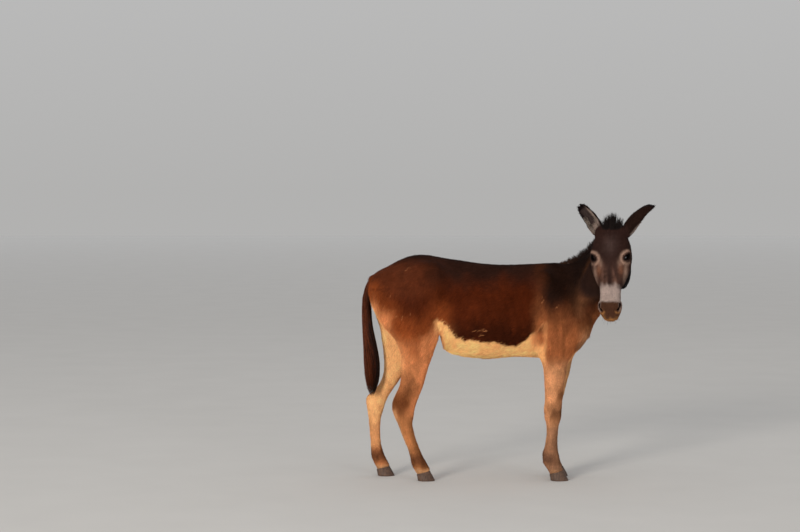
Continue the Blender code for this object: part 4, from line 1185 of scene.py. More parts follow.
def head_colours(at, paint):
    """Forehead, nose, dark cheeks deepened by painted shade, eye rings, band over the nose, muzzle, chin and
    openings.
    """
    s, w, n = at.s, at.w, at.n
    streak = noise(head_frame(at.p), (0.075, 0.014, 0.03), 10) + 0.5 * noise(at.p, 0.010, 11)
    paint(1, FOREHEAD)
    grey = bell(s - 0.10, 0.05) * bell(w, 0.035)
    paint(0.55 * grey * (1 + 0.3 * streak), tone(74, 58, 54))
    paint(rise(s, 0.14, 0.24), NOSE)
    beside = rise(s, 0.17, 0.24) * bell(w - 0.030, 0.018) * rise(s, 0.33, 0.29)
    paint(0.60 * beside * rise(streak, -0.6, 0.8), tone(112, 80, 66))
    middle = bell(w, 0.010) * rise(s, 0.20, 0.26) * rise(s, 0.33, 0.29)
    paint(0.6 * middle, 0.45 * NOSE)
    # Cheeks below the facial crest, on both sides: dark fur deepened with painted shade
    cheek = rise(n + 0.006 * streak, -0.045, -0.075) * rise(s, 0.38, 0.30)
    paint(cheek, CHEEK_DARK_AND_SHADED)
    paint(0.7 * rise(n, -0.170, -0.215), JAW_SIDE)
    r = eye_frame(at.q)
    gap = np.hypot(r[:, 0] / 0.034, r[:, 1] / 0.029)
    ring = bell(gap - 1.05, 0.22) * rise(r[:, 2], -0.012, 0.004)
    ring *= 1 - 0.80 * rise(w, 0.092, 0.104) * rise(s, 0.185, 0.170)
    ring *= 1 - 0.6 * rise(r[:, 1], -0.010, -0.026) * rise(w, 0.085, 0.070)
    ring *= 1 - 0.5 * rise(r[:, 1], -0.004, -0.018)
    paint(np.clip(1.10 * ring * (1 + 0.25 * streak), 0, 1), EYE_RING)
    for centre, radii, weight, colour in FACE_PATCHES:
        patch = weight * blob(at.q, centre, radii)
        paint(patch * (1 + 0.3 * streak * (colour is EYE_RING)), colour)
    band = rise(s + 0.014 * streak, 0.295, 0.335) * rise(s + 0.004 * streak, 0.418, 0.398)
    band *= rise(w + 0.004 * streak, 0.064, 0.050) * rise(n, -0.085, -0.060)
    paint(band, NOSE_BAND)
    speck = rise(noise(at.p, 0.006, 13), 0.72, 0.85) * band
    paint(0.5 * speck, NOSE)
    muzzle = rise(s + 0.004 * streak, 0.396, 0.416)
    paint(muzzle, MUZZLE)
    hole = nostril(at.q)
    paint(0.75 * bell(hole - 0.011, 0.006) * rise(w, 0.042, 0.054), NOSE_BAND)
    rim = muzzle * rise(w, 0.040, 0.056) * rise(s, 0.430, 0.450)
    paint(0.5 * rim, EYE_RING)
    below = n - edge(MOUTH, s) + 0.002 * streak
    facing = rise(at.normal[:, 2] + 0.12 * streak, -0.34, -0.66) * rise(s, 0.43, 0.45)
    chin = np.maximum(rise(s, 0.34, 0.40) * rise(below, 0.006, -0.008), facing)
    paint(chin, CHIN)
    paint(0.7 * chin * rise(below, -0.016, -0.032), 1.3 * CHIN)
    mouth = np.abs(n - edge(MOUTH, s)) < 0.0022
    paint(0.8 * mouth * rise(s, MOUTH_CORNER - 0.004, MOUTH_CORNER + 0.004), NOSTRIL_SKIN)
    paint(rise(hole, 0.0035, 0.0005), NOSTRIL_SKIN)
    out = np.hypot(r[:, 0] / (LID_HALF_LENGTH + 0.0045), r[:, 1] / (LID_HALF_HEIGHT + 0.0042))
    paint(rise(out, 1.12, 0.88) * (r[:, 2] > 0.005), EYE_RIM)


def ear_colours(at, paint):
    """Backs and edges of the ears, then their insides."""
    share = at.ear_share
    mottle = noise(at.p, 0.012, 12)
    outside = within(paint, at.ear * ~at.ear_inside)
    fringe = rise(at.ear_rim + 0.10 * mottle, 0.02, 0.32)
    outside(1, EAR_BACK)
    outside(rise(share, 0.78, 0.93), EAR_EDGE)
    outside(0.9 * fringe * rise(share + 0.04 * mottle, 0.48, 0.34), EAR_BASE)
    inside = within(paint, at.ear * at.ear_inside)
    inside(1, EAR_INSIDE)
    inside(0.9 * rise(share + 0.04 * mottle, 0.48, 0.30), 1.15 * EAR_BASE)
    strip = bell(at.ear_low + 0.45, 0.22) * rise(share, 0.30, 0.45) * rise(share, 0.92, 0.82)
    inside(0.75 * strip, EAR_BASE)
    inside(0.9 * rise(np.abs(at.ear_low), 0.70, 1.00) * rise(share, 0.30, 0.45), EAR_EDGE)
    inside(rise(share + 0.03 * mottle, 0.88, 0.96), EAR_EDGE)


def coat_colours(at):
    """The colour of the skin and coat at each spot."""
    colours = np.zeros((len(at.p), 3))

    def paint(share, colour):
        weight = np.broadcast_to(np.clip(share, 0, 1), len(colours))[:, None]
        colours[:] += (colour - colours) * weight

    trunk_colours(at, paint)
    leg_colours(at, paint)
    neck_colours(at, paint)
    head_colours(at, within(paint, at.head))
    ear_colours(at, paint)
    paint(at.tail, TAIL_ROOT)
    for x, z, half, tilt in SCARS:
        u, v = at.p[:, 0] - x, at.z - z
        along = u * math.cos(tilt) + v * math.sin(tilt)
        across = v * math.cos(tilt) - u * math.sin(tilt)
        mark = rise(np.hypot(np.maximum(np.abs(along) - half, 0), across), SCAR_HALF_WIDTH, 0.001)
        paint(0.60 * mark * (at.side < 0) * (1 - at.head) * (at.p[:, 1] < -0.05), SCAR_COLOUR)
    calm = 1 - 0.5 * at.head
    mottle = 1 + 0.16 * calm * noise(at.p, (0.026, 0.026, 0.036), 14) + 0.12 * calm * noise(at.p, 0.070, 15)
    mottle += 0.12 * noise(at.p, (0.009, 0.009, 0.014), 16)
    return (colours * mottle.clip(0.6, 1.5)[:, None]).clip(0, 0.85)


# ---------------------------------------------------------------- lie of the coat
# Which way the hair lies: place and direction, the same on both sides of the body
LIE = (
    ((0.400, 0.080, 1.180), (-0.80, 0.20, -0.30)),
    ((0.100, 0.100, 1.190), (-1.00, 0.20, -0.20)),
    ((0.100, 0.210, 0.950), (-0.90, 0.00, -0.55)),
    ((0.100, 0.120, 0.680), (-1.00, 0.00, 0.00)),
    ((-0.120, 0.190, 1.020), (-0.90, 0.00, -0.55)),
    ((-0.200, 0.150, 0.850), (-0.60, 0.00, -0.80)),
    ((-0.330, 0.120, 1.220), (-1.00, 0.15, -0.30)),
    ((-0.430, 0.170, 1.020), (-0.60, 0.00, -0.80)),
    ((-0.570, 0.080, 1.050), (-0.30, 0.00, -1.00)),
    ((-0.380, 0.150, 0.800), (-0.25, 0.00, -1.00)),
    ((-0.420, 0.100, 0.550), (-0.15, 0.00, -1.00)),
    ((-0.450, 0.100, 0.300), (0.05, 0.00, -1.00)),
    ((-0.400, 0.100, 0.080), (0.15, 0.00, -1.00)),
    ((0.380, 0.160, 1.020), (-0.60, 0.00, -0.90)),
    ((0.480, 0.160, 0.850), (-0.35, 0.00, -1.00)),
    ((0.600, 0.050, 0.880), (-0.10, 0.10, -1.00)),
    ((0.420, 0.110, 0.620), (-0.10, 0.00, -1.00)),
    ((0.400, 0.100, 0.300), (-0.05, 0.00, -1.00)),
    ((0.420, 0.100, 0.080), (0.15, 0.00, -1.00)),
)
NECK_LIE = (
    ((0.520, -0.040, 1.150), (-0.60, 0.00, -0.75)),
    ((0.640, -0.120, 1.250), (-0.45, 0.10, -0.90)),
    ((0.700, -0.120, 1.120), (-0.30, 0.20, -1.00)),
    ((0.660, -0.060, 1.000), (-0.30, 0.10, -1.00)),
)
# In the head's frame, the same on both sides
HEAD_LIE = (
    ((0.030, 0.030, 0.000), (-1.00, 0.15, 0.00)),
    ((0.120, 0.020, 0.010), (0.60, 0.60, 0.00)),
    ((0.130, 0.080, -0.040), (-0.20, 0.30, -1.00)),
    ((0.200, 0.030, 0.000), (1.00, 0.25, 0.00)),
    ((0.300, 0.020, 0.000), (1.00, 0.10, 0.00)),
    ((0.230, 0.070, -0.070), (0.60, 0.20, -0.80)),
    ((0.300, 0.055, -0.060), (0.95, 0.05, -0.35)),
    ((0.400, 0.045, -0.040), (0.95, 0.10, -0.20)),
    ((0.130, 0.075, -0.140), (0.15, 0.00, -1.00)),
    ((0.440, 0.020, -0.100), (0.40, 0.00, -0.90)),
)
LIE_REACH, HEAD_LIE_REACH = 0.13, 0.055


def lie_sum(q, rows, reach):
    """Directions of a table, the nearer rows counting more."""
    place, way = np.array(rows).transpose(1, 0, 2)
    return unit(nearness(q, place, reach) @ unit(way))


def coat_lie(at):
    """Unit vectors along the skin, from a hair's root to its tip."""
    way = lie_sum(mirrored(at.p), LIE, LIE_REACH)
    way[:, 1] *= at.side
    on_neck = (at.neck > 0.02) & (at.head < 0.98)
    share = at.neck[on_neck][:, None]
    way[on_neck] = way[on_neck] * (1 - share) + share * lie_sum(at.p[on_neck], NECK_LIE, LIE_REACH)
    on_head = at.head > 0.02
    face_way = lie_sum(at.q[on_head], HEAD_LIE, HEAD_LIE_REACH)
    face_way[:, 1] *= np.where(head_frame(at.p[on_head])[:, 1] < 0, -1, 1)
    share = at.head[on_head][:, None]
    way[on_head] = way[on_head] * (1 - share) + share * (face_way @ HEAD_AXES)
    for number, line in enumerate(EAR_LINES):
        here = (at.ear > 0.5) & (at.ear_number == number)
        way[here] = line.along + 0.35 * line.across * np.sign((at.p[here] - line.base) @ line.across)[:, None]
    way[at.tail > 0.5] = (0, 0, -1)
    way -= at.normal * (way * at.normal).sum(1)[:, None]
    return unit(way)


# ---------------------------------------------------------------- tufts
TUFT_PATCH = 0.003  # size of a tuft's place on the coat's map
TUFT_ROOT = 0.0010  # how deep a tuft's root sits in the skin
MOST_TUFTS = 49000  # in one piece
TUFT_LENGTH, TUFT_WIDTH, TUFT_RISE = 0.024, 0.0026, 0.0032  # on the barrel
TUFT_DENSITY = 52000  # tufts on a square metre of the barrel


def coat_size(at):
    """Length, width and rise of the tufts at each spot, and how many there are to a square metre."""
    face_share = at.head * rise(at.s, -0.02, 0.10)
    muzzle = at.head * rise(at.s, 0.36, 0.43)
    foot = rise(at.z, 0.12, 0.05) * (1 - at.head)
    length = TUFT_LENGTH - 0.009 * at.legs - 0.013 * face_share
    length = length * (1 - 0.35 * muzzle) * (1 - 0.30 * foot)
    fringe = rise(-at.normal[:, 2], 0.5, 0.9) * rise(at.z, 0.80, 0.72) * (1 - at.legs)
    length = length + 0.006 * fringe
    length = np.where(at.ear > 0.5, np.where(at.ear_inside, 0.012, 0.011), length)
    length = length * (1 - 0.5 * at.head * bell(size_of(at.q - EYE_AT), 0.036))
    width = TUFT_WIDTH - 0.0006 * at.legs - 0.0011 * face_share - 0.0003 * muzzle
    width = np.where(at.ear > 0.5, 0.0016, width)
    lift = TUFT_RISE - 0.0010 * at.legs - 0.0016 * face_share + 0.002 * fringe
    lift = lift * (1 - 0.4 * rise(at.normal[:, 2], 0.3, 0.9) * (1 - at.head)) * (1 - 0.45 * at.ear)
    lift = np.where(at.ear > 0.5, 0.0018, lift)
    density = TUFT_DENSITY + 34000 * at.legs + 80000 * face_share
    density = np.where(at.ear > 0.5, 90000, density)
    bare = at.head * rise(nostril(at.q), 0.006, 0.001)
    r = eye_frame(at.q)
    almond = np.hypot(r[:, 0] / LID_HALF_LENGTH, r[:, 1] / LID_HALF_HEIGHT)
    bare = np.maximum(bare, at.head * rise(almond, 1.25, 1.05) * (r[:, 2] > 0))
    bare = np.maximum(bare, rise(under_coronet(at.p), 0.001, 0.004))
    return length, width, lift, density * (1 - bare)


def tuft_roots(mesh):
    """Places spread over the skin as coat_size asks: points, normals and places on its map."""
    tri, loops = triangles_of(mesh)
    points, normals, uv = mesh_points(mesh), mesh_normals(mesh), map_places(mesh)
    a, b, c = (points[tri[:, k]] for k in range(3))
    area = size_of(np.cross(b - a, c - a)) / 2
    middle = (a + b + c) / 3
    density = coat_size(spots(middle, unit(normals[tri].sum(1))))[3]
    total = np.cumsum(area * density)
    count = int(total[-1])
    pick = np.searchsorted(total, (np.arange(count) + random.random(count)) * total[-1] / count)
    pick = np.minimum(pick, len(tri) - 1)
    u, v = np.sqrt(random.random(count)), random.random(count)
    share = np.stack((1 - u, u * (1 - v), u * v), 1)[:, :, None]
    root = (points[tri[pick]] * share).sum(1)
    return root, unit((normals[tri[pick]] * share).sum(1)), (uv[loops[pick]] * share).sum(1)


def strands(name, verts, faces, colours, shade, uv, place):
    """A mesh of many like pieces: each one's points, colour and place on the map, with the faces,
    shades and spots on its patch of the map that they share."""
    per = verts.shape[1]
    all_faces = (np.arange(len(verts))[:, None, None] * per + faces).reshape(-1, 3)
    mesh = new_mesh(name, verts.reshape(-1, 3) - MODEL_CENTRE, all_faces)
    write_colour(mesh, "Coat", (colours[:, None, :] * shade[None, :, None]).reshape(-1, 3).clip(0, 0.9))
    corners = (uv[:, None, :] + (place * TUFT_PATCH)[None]).reshape(-1, 2)[all_faces.ravel()]
    mesh.uv_layers.new(name="OFBake").data.foreach_set("uv", corners.astype(np.float32).ravel())
    return mesh


def tuft_mesh(name, root, normal, way, length, width, lift, colours, uv):
    """Slender leaves lying on the skin: each a closed solid of root, two flanks and tip."""
    side = np.cross(normal, way)
    verts = np.empty((len(root), 4, 3))
    verts[:, 0] = root - normal * TUFT_ROOT
    verts[:, 3] = root + way * length[:, None] + normal * lift[:, None]
    middle = root + way * (0.42 * length)[:, None] + normal * (0.10 * lift)[:, None]
    verts[:, 1] = middle - side * (width / 2)[:, None]
    verts[:, 2] = middle + side * (width / 2)[:, None]
    faces = np.array(((0, 1, 3), (0, 3, 2), (0, 2, 1), (1, 2, 3)))
    place = np.array(((0.0, -0.5), (-0.5, 0.0), (0.5, 0.0), (0.0, 0.5)))
    mesh = strands(name, verts, faces, colours, np.array((0.72, 1.0, 1.0, 1.18)), uv, place)
    mesh.shade_flat()
    return mesh


# Coat pieces: name, the record's slot, and which spots belong to it
COAT_PIECES = (
    ("coat_ears", "coat_ear", lambda at: at.ear > 0.5),
    ("coat_head", "coat_head", lambda at: at.head > 0.5),
    ("coat_neck", "coat_neck", lambda at: at.neck > 0.5),
    ("coat_fore_right", "coat_leg", lambda at: (at.z < 0.72) & (at.x > 0.25) & (at.side < 0) & (at.legs > 0)),
    ("coat_fore_left", "coat_leg", lambda at: (at.z < 0.72) & (at.x > 0.25) & (at.side > 0) & (at.legs > 0)),
    ("coat_hind_right", "coat_leg", lambda at: (at.z < 0.80) & (at.x < -0.22) & (at.side < 0)),
    ("coat_hind_left", "coat_leg", lambda at: (at.z < 0.80) & (at.x < -0.22) & (at.side > 0)),
    ("coat_haunch", "coat_body", lambda at: at.x < -0.15),
    ("coat_barrel", "coat_body", lambda at: at.x < 0.28),
    ("coat_shoulder", "coat_body", lambda at: at.x > -9),
)


def coat(mesh, material):
    """Covers the skin with tufts, sorted into the coat pieces."""
    root, normal, uv = tuft_roots(mesh)
    at = spots(root, normal)
    length, width, lift, _ = coat_size(at)
    way = coat_lie(at)
    side = np.cross(normal, way)
    swirl = 0.22 * noise(root, 0.030, 20) + 0.10 * random.standard_normal(len(root))
    way = unit(way + side * swirl[:, None])
    clump = noise(root, 0.012, 21)
    length = length * (1 + 0.18 * clump + 0.12 * random.standard_normal(len(root))).clip(0.5, 1.5)
    lift = lift * (1 + 0.35 * clump + 0.30 * random.standard_normal(len(root))).clip(0.2, 1.9)
    width = width * random.uniform(0.75, 1.25, len(root))
    shade = 1 + 0.12 * clump + 0.10 * random.standard_normal(len(root))
    colours = coat_colours(at) * shade.clip(0.6, 1.5)[:, None]
    free = np.ones(len(root), bool)
    for name, slot, belongs in COAT_PIECES:
        here = free & belongs(at)
        free &= ~here
        rows = np.flatnonzero(here)
        parts = math.ceil(len(rows) / MOST_TUFTS)
        for part in range(parts):
            pick = rows[part::parts]
            label = name if parts == 1 else f"{name}_{part + 1}"
            data = [v[pick] for v in (root, normal, way, length, width, lift, colours, uv)]
            settle_piece(add_object(label, tuft_mesh(label, *data)), material, slot)


# ---------------------------------------------------------------- long hair
def lock_mesh(name, paths, widths, colours, uv):
    """Tapered three-sided locks along paths of equal point counts, closed at root and tip."""
    n, count = paths.shape[:2]
    along = unit(np.gradient(paths, axis=1))
    ref = np.where(np.abs(along[..., 2:3]) < 0.8, (0.0, 0.0, 1.0), (1.0, 0.0, 0.0))
    side = unit(np.cross(along, ref))
    up = np.cross(side, along)
    rings = []
    for k in range(3):
        turn = math.tau * k / 3
        rings.append(paths + widths[..., None] * (math.cos(turn) * side + math.sin(turn) * up))
    ring = np.stack(rings, 2)[:, :-1]
    verts = np.concatenate((ring.reshape(n, -1, 3), paths[:, -1:]), 1)
    faces = [(0, 2, 1)]
    for r in range(count - 2):
        for k in range(3):
            a, b = r * 3 + k, r * 3 + (k + 1) % 3
            faces += [(a, b, b + 3), (a, b + 3, a + 3)]
    last, tip = (count - 2) * 3, (count - 1) * 3
    faces += [(last + k, last + (k + 1) % 3, tip) for k in range(3)]
    share = np.append(np.repeat(np.linspace(0, 1, count)[:-1], 3), 1.0)
    turn = np.append(np.tile((0.0, 0.33, 0.67), count - 1), 0.5)
    place = np.stack((turn, share), 1) - 0.5
    return strands(name, verts, np.array(faces), colours, 0.75 + 0.45 * share, uv, place)


def along_hair(count):
    """Shares of a hair's length, ready to scale its points."""
    return np.linspace(0, 1, count)[None, :, None]


def in_disc(count):
    """Chance directions and distances that fill a disc evenly."""
    return random.uniform(0, math.tau, count), np.sqrt(random.random(count))


def neck_ring(share):
    """The neck's frame at a share of its line."""
    at = share * (len(NECK_FRAMES) - 1)
    i = np.minimum(at.astype(int), len(NECK_FRAMES) - 2)
    return NECK_FRAMES[i] + (NECK_FRAMES[i + 1] - NECK_FRAMES[i]) * (at - i)[:, None]


MANE_START, MANE_END, MANE_HEIGHT = 0.25, 0.93, 0.056
MANE_SPIKES, SPIKE_HAIRS = 120, 16
FORELOCK_HAIRS, FORELOCK_SPIKES, TAIL_HAIRS, EAR_HAIRS = 700, 26, 1700, 380
LASHES, LASH_LENGTH, WHISKERS = 34, 0.010, 60
# Tail: height, back x, front x, middle y, half width
TAIL = (
    (1.118, -0.612, -0.575, 0.000, 0.020),
    (1.085, -0.634, -0.590, 0.000, 0.027),
    (1.030, -0.647, -0.596, 0.000, 0.028),
    (0.950, -0.652, -0.599, 0.002, 0.027),
    (0.850, -0.650, -0.592, 0.004, 0.029),
    (0.740, -0.645, -0.569, 0.006, 0.037),
    (0.620, -0.641, -0.552, 0.008, 0.041),
    (0.530, -0.632, -0.560, 0.008, 0.034),
    (0.475, -0.616, -0.580, 0.008, 0.018),
    (0.452, -0.603, -0.590, 0.008, 0.006),
)
TAIL_TIP = 0.455  # no hair of the tail reaches lower


def mane_paths():
    """Stiff hair in pointed clumps standing along the crest, lowest at the withers."""
    place = (np.arange(MANE_SPIKES) + random.uniform(-0.3, 0.3, MANE_SPIKES)) / (MANE_SPIKES - 1)
    share = MANE_START + (MANE_END - MANE_START) * np.clip(place, 0, 1)
    spike = neck_ring(share)
    height = MANE_HEIGHT * (0.35 + 0.65 * np.minimum(1, place / 0.35).clip(0, 1))
    height *= random.uniform(0.80, 1.02, MANE_SPIKES)
    lean = random.uniform(-0.20, 0.20, MANE_SPIKES)
    crest, side, along = spike[:, 6:9], spike[:, 9:12], spike[:, 3:6]
    edge = spike[:, :3] + crest * (spike[:, 12:13] - 0.010)
    tip = edge + crest * (height + 0.010)[:, None] + along * (lean * height + 0.010)[:, None]
    tip += side * random.uniform(-0.003, 0.003, MANE_SPIKES)[:, None]
    number = np.repeat(np.arange(MANE_SPIKES), SPIKE_HAIRS)
    spread = random.uniform(-1, 1, (len(number), 2))
    across = spread[:, :1] * 0.014
    foot = edge[number] + side[number] * across + along[number] * spread[:, 1:] * 0.009
    foot -= crest[number] * (np.abs(across) * 0.55)
    reach = random.uniform(0.60, 1.0, len(number))[:, None]
    aim = tip[number] + side[number] * across * 0.20 + along[number] * spread[:, 1:] * 0.004
    end = foot + (aim - foot) * reach
    t = along_hair(6)
    bulge = side[number] * across * 0.35 + along[number] * spread[:, 1:] * 0.004
    return foot[:, None] * (1 - t) + end[:, None] * t + bulge[:, None] * np.sin(np.pi * t)


def forelock_paths():
    """A tousled tuft between the ears."""
    turn, out = in_disc(FORELOCK_HAIRS)
    left = HEAD_AXES[1]
    back = np.cross(left, (0, 0, 1))
    u, v = out * np.cos(turn), out * np.sin(turn)
    foot = from_head((0.006, 0.004, -0.030)) + np.outer(u * 0.032, left) + np.outer(v * 0.018, back)
    foot[:, 2] -= 0.030
    place = np.stack((u, v), 1)
    spikes = random.uniform(-1, 1, (FORELOCK_SPIKES, 2))
    near = np.argmin(((spikes[:, None] - place[None]) ** 2).sum(2), axis=0)
    aim = 0.6 * spikes[near] + 0.4 * place
    height = (0.138 - 0.050 * aim[:, 0] ** 2) * random.uniform(0.58, 1.0, FORELOCK_HAIRS)
    end = foot + np.outer(aim[:, 0] * 0.038 + 0.002, left) + np.outer(aim[:, 1] * 0.010, back)
    end[:, 2] += height
    t = along_hair(6)
    droop = np.outer(aim[:, 0], left) * 0.010
    return foot[:, None] * (1 - t) + end[:, None] * t + droop[:, None] * (t**3 - t)


def tail_paths():
    """Long hair falling from the tail bone, filling the tail's outline down to its tip."""
    start = random.uniform(0.80, 1.112, TAIL_HAIRS)
    stop = np.clip(start - random.uniform(0.22, 0.40, TAIL_HAIRS), TAIL_TIP, None)
    low = random.random(TAIL_HAIRS) < 0.45
    stop = np.where(low, TAIL_TIP + 0.16 * random.random(TAIL_HAIRS) ** 1.5, stop)
    turn, out = in_disc(TAIL_HAIRS)
    share = np.linspace(0, 1, 10)[None, :]
    z = start[:, None] + (stop - start)[:, None] * share
    back, front, mid, half = columns_at(dense(TAIL), z)
    grow = 0.42 + (out[:, None] - 0.42) * rise(share, 0, 0.35)
    turn = turn[:, None] + 0.35 * np.sin(3 * share + turn[:, None])
    x = (back + front) / 2 + (front - back) / 2 * grow * np.cos(turn)
    y = mid + half * grow * np.sin(turn)
    return np.stack((x, y, z), -1)


def ear_hair_paths():
    """Long soft hair inside the ears, thickest low down and along the rims."""
    paths = []
    form = dense(EAR_FORM, 200)
    for line in EAR_LINES:
        share = 0.06 + 0.62 * random.random(EAR_HAIRS) ** 1.3
        radius, angle = columns_at(form, share)
        radius, angle = radius - EAR_THICKNESS * 0.4, np.radians(angle)
        turn = random.choice((-1, 1), EAR_HAIRS) * (1 - 0.55 * random.random(EAR_HAIRS) ** 2) * angle
        way = np.outer(np.sin(turn), line.across) - np.outer(np.cos(turn), line.open)
        foot = ear_middle(line, share) + radius[:, None] * way
        length = random.uniform(0.016, 0.034, EAR_HAIRS) * (1 - 0.5 * share)
        inward = unit(0.75 * line.along - 0.55 * way + 0.25 * line.open)
        inward = unit(inward + 0.18 * random.standard_normal((EAR_HAIRS, 3)))
        t = along_hair(5)
        bend = line.along * 0.25
        paths.append(foot[:, None] + (inward[:, None] * t + bend * t**2) * length[:, None, None])
    return np.concatenate(paths)


def lash_paths():
    """Lashes on the upper lids, then whiskers on the chin and lips."""
    paths = []
    for side in (-1, 1):
        along = np.linspace(-0.75, 0.8, LASHES) + random.uniform(-0.01, 0.01, LASHES)
        rise_up = LID_HALF_HEIGHT * (1 - along**2) + 0.0005
        depth = np.sqrt(np.maximum((EYE_RADIUS + LID_THICKNESS * 0.7) ** 2
                                   - (along * LID_HALF_LENGTH) ** 2 - rise_up**2, 0))
        local = np.stack((along * LID_HALF_LENGTH, rise_up, depth), 1)
        way = np.stack((0.25 * along, 0.10 + 0 * along, 1 + 0 * along), 1)
        t = along_hair(5)
        curl = np.array((0.0, 0.35, -0.35)) * t**2
        lash = local[:, None] + (unit(way)[:, None] * t + curl) * LASH_LENGTH
        paths.append(from_head((lash @ EYE_AXES + EYE_AT) * (1, side, 1)))
    s = random.uniform(0.43, 0.485, WHISKERS)
    w = random.uniform(-0.045, 0.045, WHISKERS)
    n = np.where(random.random(WHISKERS) < 0.6, -0.118, -0.082)
    start = settle(from_head(np.stack((s, w, n), 1)), skin, rounds=4, limit=0.02)
    out = unit(np.stack((0.6 + 0 * s, w * 9, np.where(n < -0.1, -0.9, -0.1)), 1) @ HEAD_AXES)
    t = along_hair(5)
    length = random.uniform(0.012, 0.026, WHISKERS)[:, None, None]
    droop = np.array((0, 0, -0.35)) * t**2
    paths.append(start[:, None] + (out[:, None] * t + droop) * length)
    return np.concatenate(paths)


def hair_piece(name, paths, root_width, colour, vary, finder, material, slot, *stands_for):
    """One object of locks; colour is one tone, or a function from paths to a tone for each."""
    count = len(paths)
    colour = colour(paths) if callable(colour) else colour
    taper = np.linspace(1, 0.25, paths.shape[1]) ** 0.8
    widths = root_width * random.uniform(0.7, 1.3, count)[:, None] * taper[None]
    shade = (1 + vary * random.standard_normal(count)).clip(0.4, 2)
    shades = np.broadcast_to(colour, (count, 3)) * shade[:, None]
    obj = add_object(name, lock_mesh(name, paths, widths, shades, finder(paths[:, 0])))
    settle_piece(obj, material, slot, *stands_for)


# ---------------------------------------------------------------- eyes and hooves
EYE_ROWS, EYE_AROUND = 40, 48
IRIS_EDGE, PUPIL_HALF = 0.66, (0.34, 0.15)  # as shares of the eyeball's radius
CORNEA_BULGE, EYE_GAP = 0.035, 0.0006  # a share of the radius, and the space under the lids
IRIS_FIBRES = 23
SCLERA_TONE, IRIS_TONE, PUPIL_TONE = tone(70, 44, 34), tone(30, 16, 10), tone(6, 5, 6)


def eye(name, side, material):
    """An eyeball with a bulging cornea, a dark iris and a long level pupil."""
    polar = np.linspace(0, math.pi, EYE_ROWS + 2)[1:-1]
    around = np.linspace(0, math.tau, EYE_AROUND, endpoint=False)
    polar, around = np.meshgrid(polar, around, indexing="ij")
    local = np.stack((np.sin(polar) * np.cos(around), np.sin(polar) * np.sin(around), np.cos(polar)), -1)
    local = np.concatenate((local.reshape(-1, 3), ((0, 0, 1), (0, 0, -1))))
    flat = np.hypot(local[:, 0], local[:, 1])
    bulge = 1 + CORNEA_BULGE * rise(flat, IRIS_EDGE, 0.2) * (local[:, 2] > 0)
    q = (local * bulge[:, None] * (EYE_RADIUS - EYE_GAP)) @ EYE_AXES + EYE_AT
    q = q * (1, side, 1)
    faces = loft_faces(EYE_ROWS, EYE_AROUND).tolist()
    last = (EYE_ROWS - 1) * EYE_AROUND
    for i in range(EYE_AROUND):
        j = (i + 1) % EYE_AROUND
        faces += [(len(local) - 2, j, i), (len(local) - 1, last + i, last + j)]
    mesh = closed_mesh(name, from_head(q) - MODEL_CENTRE, faces)
    grain = 0.5 + 0.5 * np.sin(IRIS_FIBRES * np.arctan2(local[:, 1], local[:, 0]))
    colours = np.tile(SCLERA_TONE, (len(local), 1))
    iris = rise(flat, IRIS_EDGE, IRIS_EDGE - 0.08)[:, None] * (local[:, 2:] > 0)
    colours += (IRIS_TONE * (0.8 + 0.4 * grain[:, None]) - colours) * iris
    pupil = np.hypot(local[:, 0] / PUPIL_HALF[0], local[:, 1] / PUPIL_HALF[1])
    colours += (PUPIL_TONE - colours) * (rise(pupil, 1.15, 0.85) * (local[:, 2] > 0))[:, None]
    write_colour(mesh, "Coat", colours)
    settle_piece(add_object(name, mesh), material, "eye", name.replace("ball_", "eye_"))


HOOF_ROWS, HOOF_AROUND = 30, 72
# How far the hoof's upper edge lies in from its sole's, at the sides, toe and heel
HOOF_TAPER, TOE_SLOPE, HEEL_SLOPE = 0.006, 0.032, 0.006
# Depth of the growth rings, of the worn lower rim and of the band under the hair
RING_DEPTH, RIM_WEAR, CORONET_SWELL = 0.0006, 0.0020, 0.0012
HOOF_INSET = 0.0008  # the wall lies this far inside the solid's


def horn(node, heel, toe, middle, material):
    """A hoof wall with growth rings, a worn lower rim and a coronet band."""
    level = np.concatenate(((0.0, 0.0), np.linspace(0.02, 0.97, HOOF_ROWS - 4), (1.0, 1.0)))[:, None]
    inset = np.zeros_like(level)
    inset[0], inset[-1] = 0.30, 0.25
    turn = np.linspace(0, math.tau, HOOF_AROUND, endpoint=False)[None]
    back, front = heel - HEEL_SLOPE * level, toe - TOE_SLOPE * level
    wave = np.sin(46 * level + 0.8 * np.cos(turn))
    ring = RING_DEPTH * wave * rise(level, 0.05, 0.2) * rise(level, 0.99, 0.85)
    place = np.broadcast_arrays(3 * np.cos(turn), 3 * np.sin(turn), 5 * level + heel * 90)
    rough = noise(np.stack(place, -1).reshape(-1, 3), 1.0, 30).reshape(len(level), -1)
    worn = RIM_WEAR * rise(level, 0.10, 0.0) * (1 + rough)
    swell = CORONET_SWELL * bell(level - 0.90, 0.06)
    cut_in = ring + 0.0005 * rough + swell - worn - HOOF_INSET
    half = (HOOF_HALF_WIDTH - HOOF_TAPER * level) * (1 - 0.10 * np.cos(turn)) + cut_in
    deep = (front - back) / 2 + cut_in
    shrink = 1 - inset
    x = (back + front) / 2 + deep * np.cos(turn) * shrink
    y = middle + half * np.sin(turn) * shrink
    notch = 0.004 * bell(np.abs(turn - math.pi), 0.35)
    height = CORONET_BACK + CORONET_SLOPE * (x - heel) - notch
    z = level * height - 0.0006 * (level > 0.98)
    z[0] = z[1] = 0.0
    faces = loft_faces(HOOF_ROWS, HOOF_AROUND).tolist()
    faces.append(range(HOOF_AROUND))
    faces.append(range((HOOF_ROWS - 1) * HOOF_AROUND, HOOF_ROWS * HOOF_AROUND))
    name = node.replace("hoof_", "horn_")
    mesh = closed_mesh(name, np.stack((x, y, z), -1).reshape(-1, 3) - MODEL_CENTRE, faces)
    settle_piece(add_object(name, mesh), material, "horn", node)


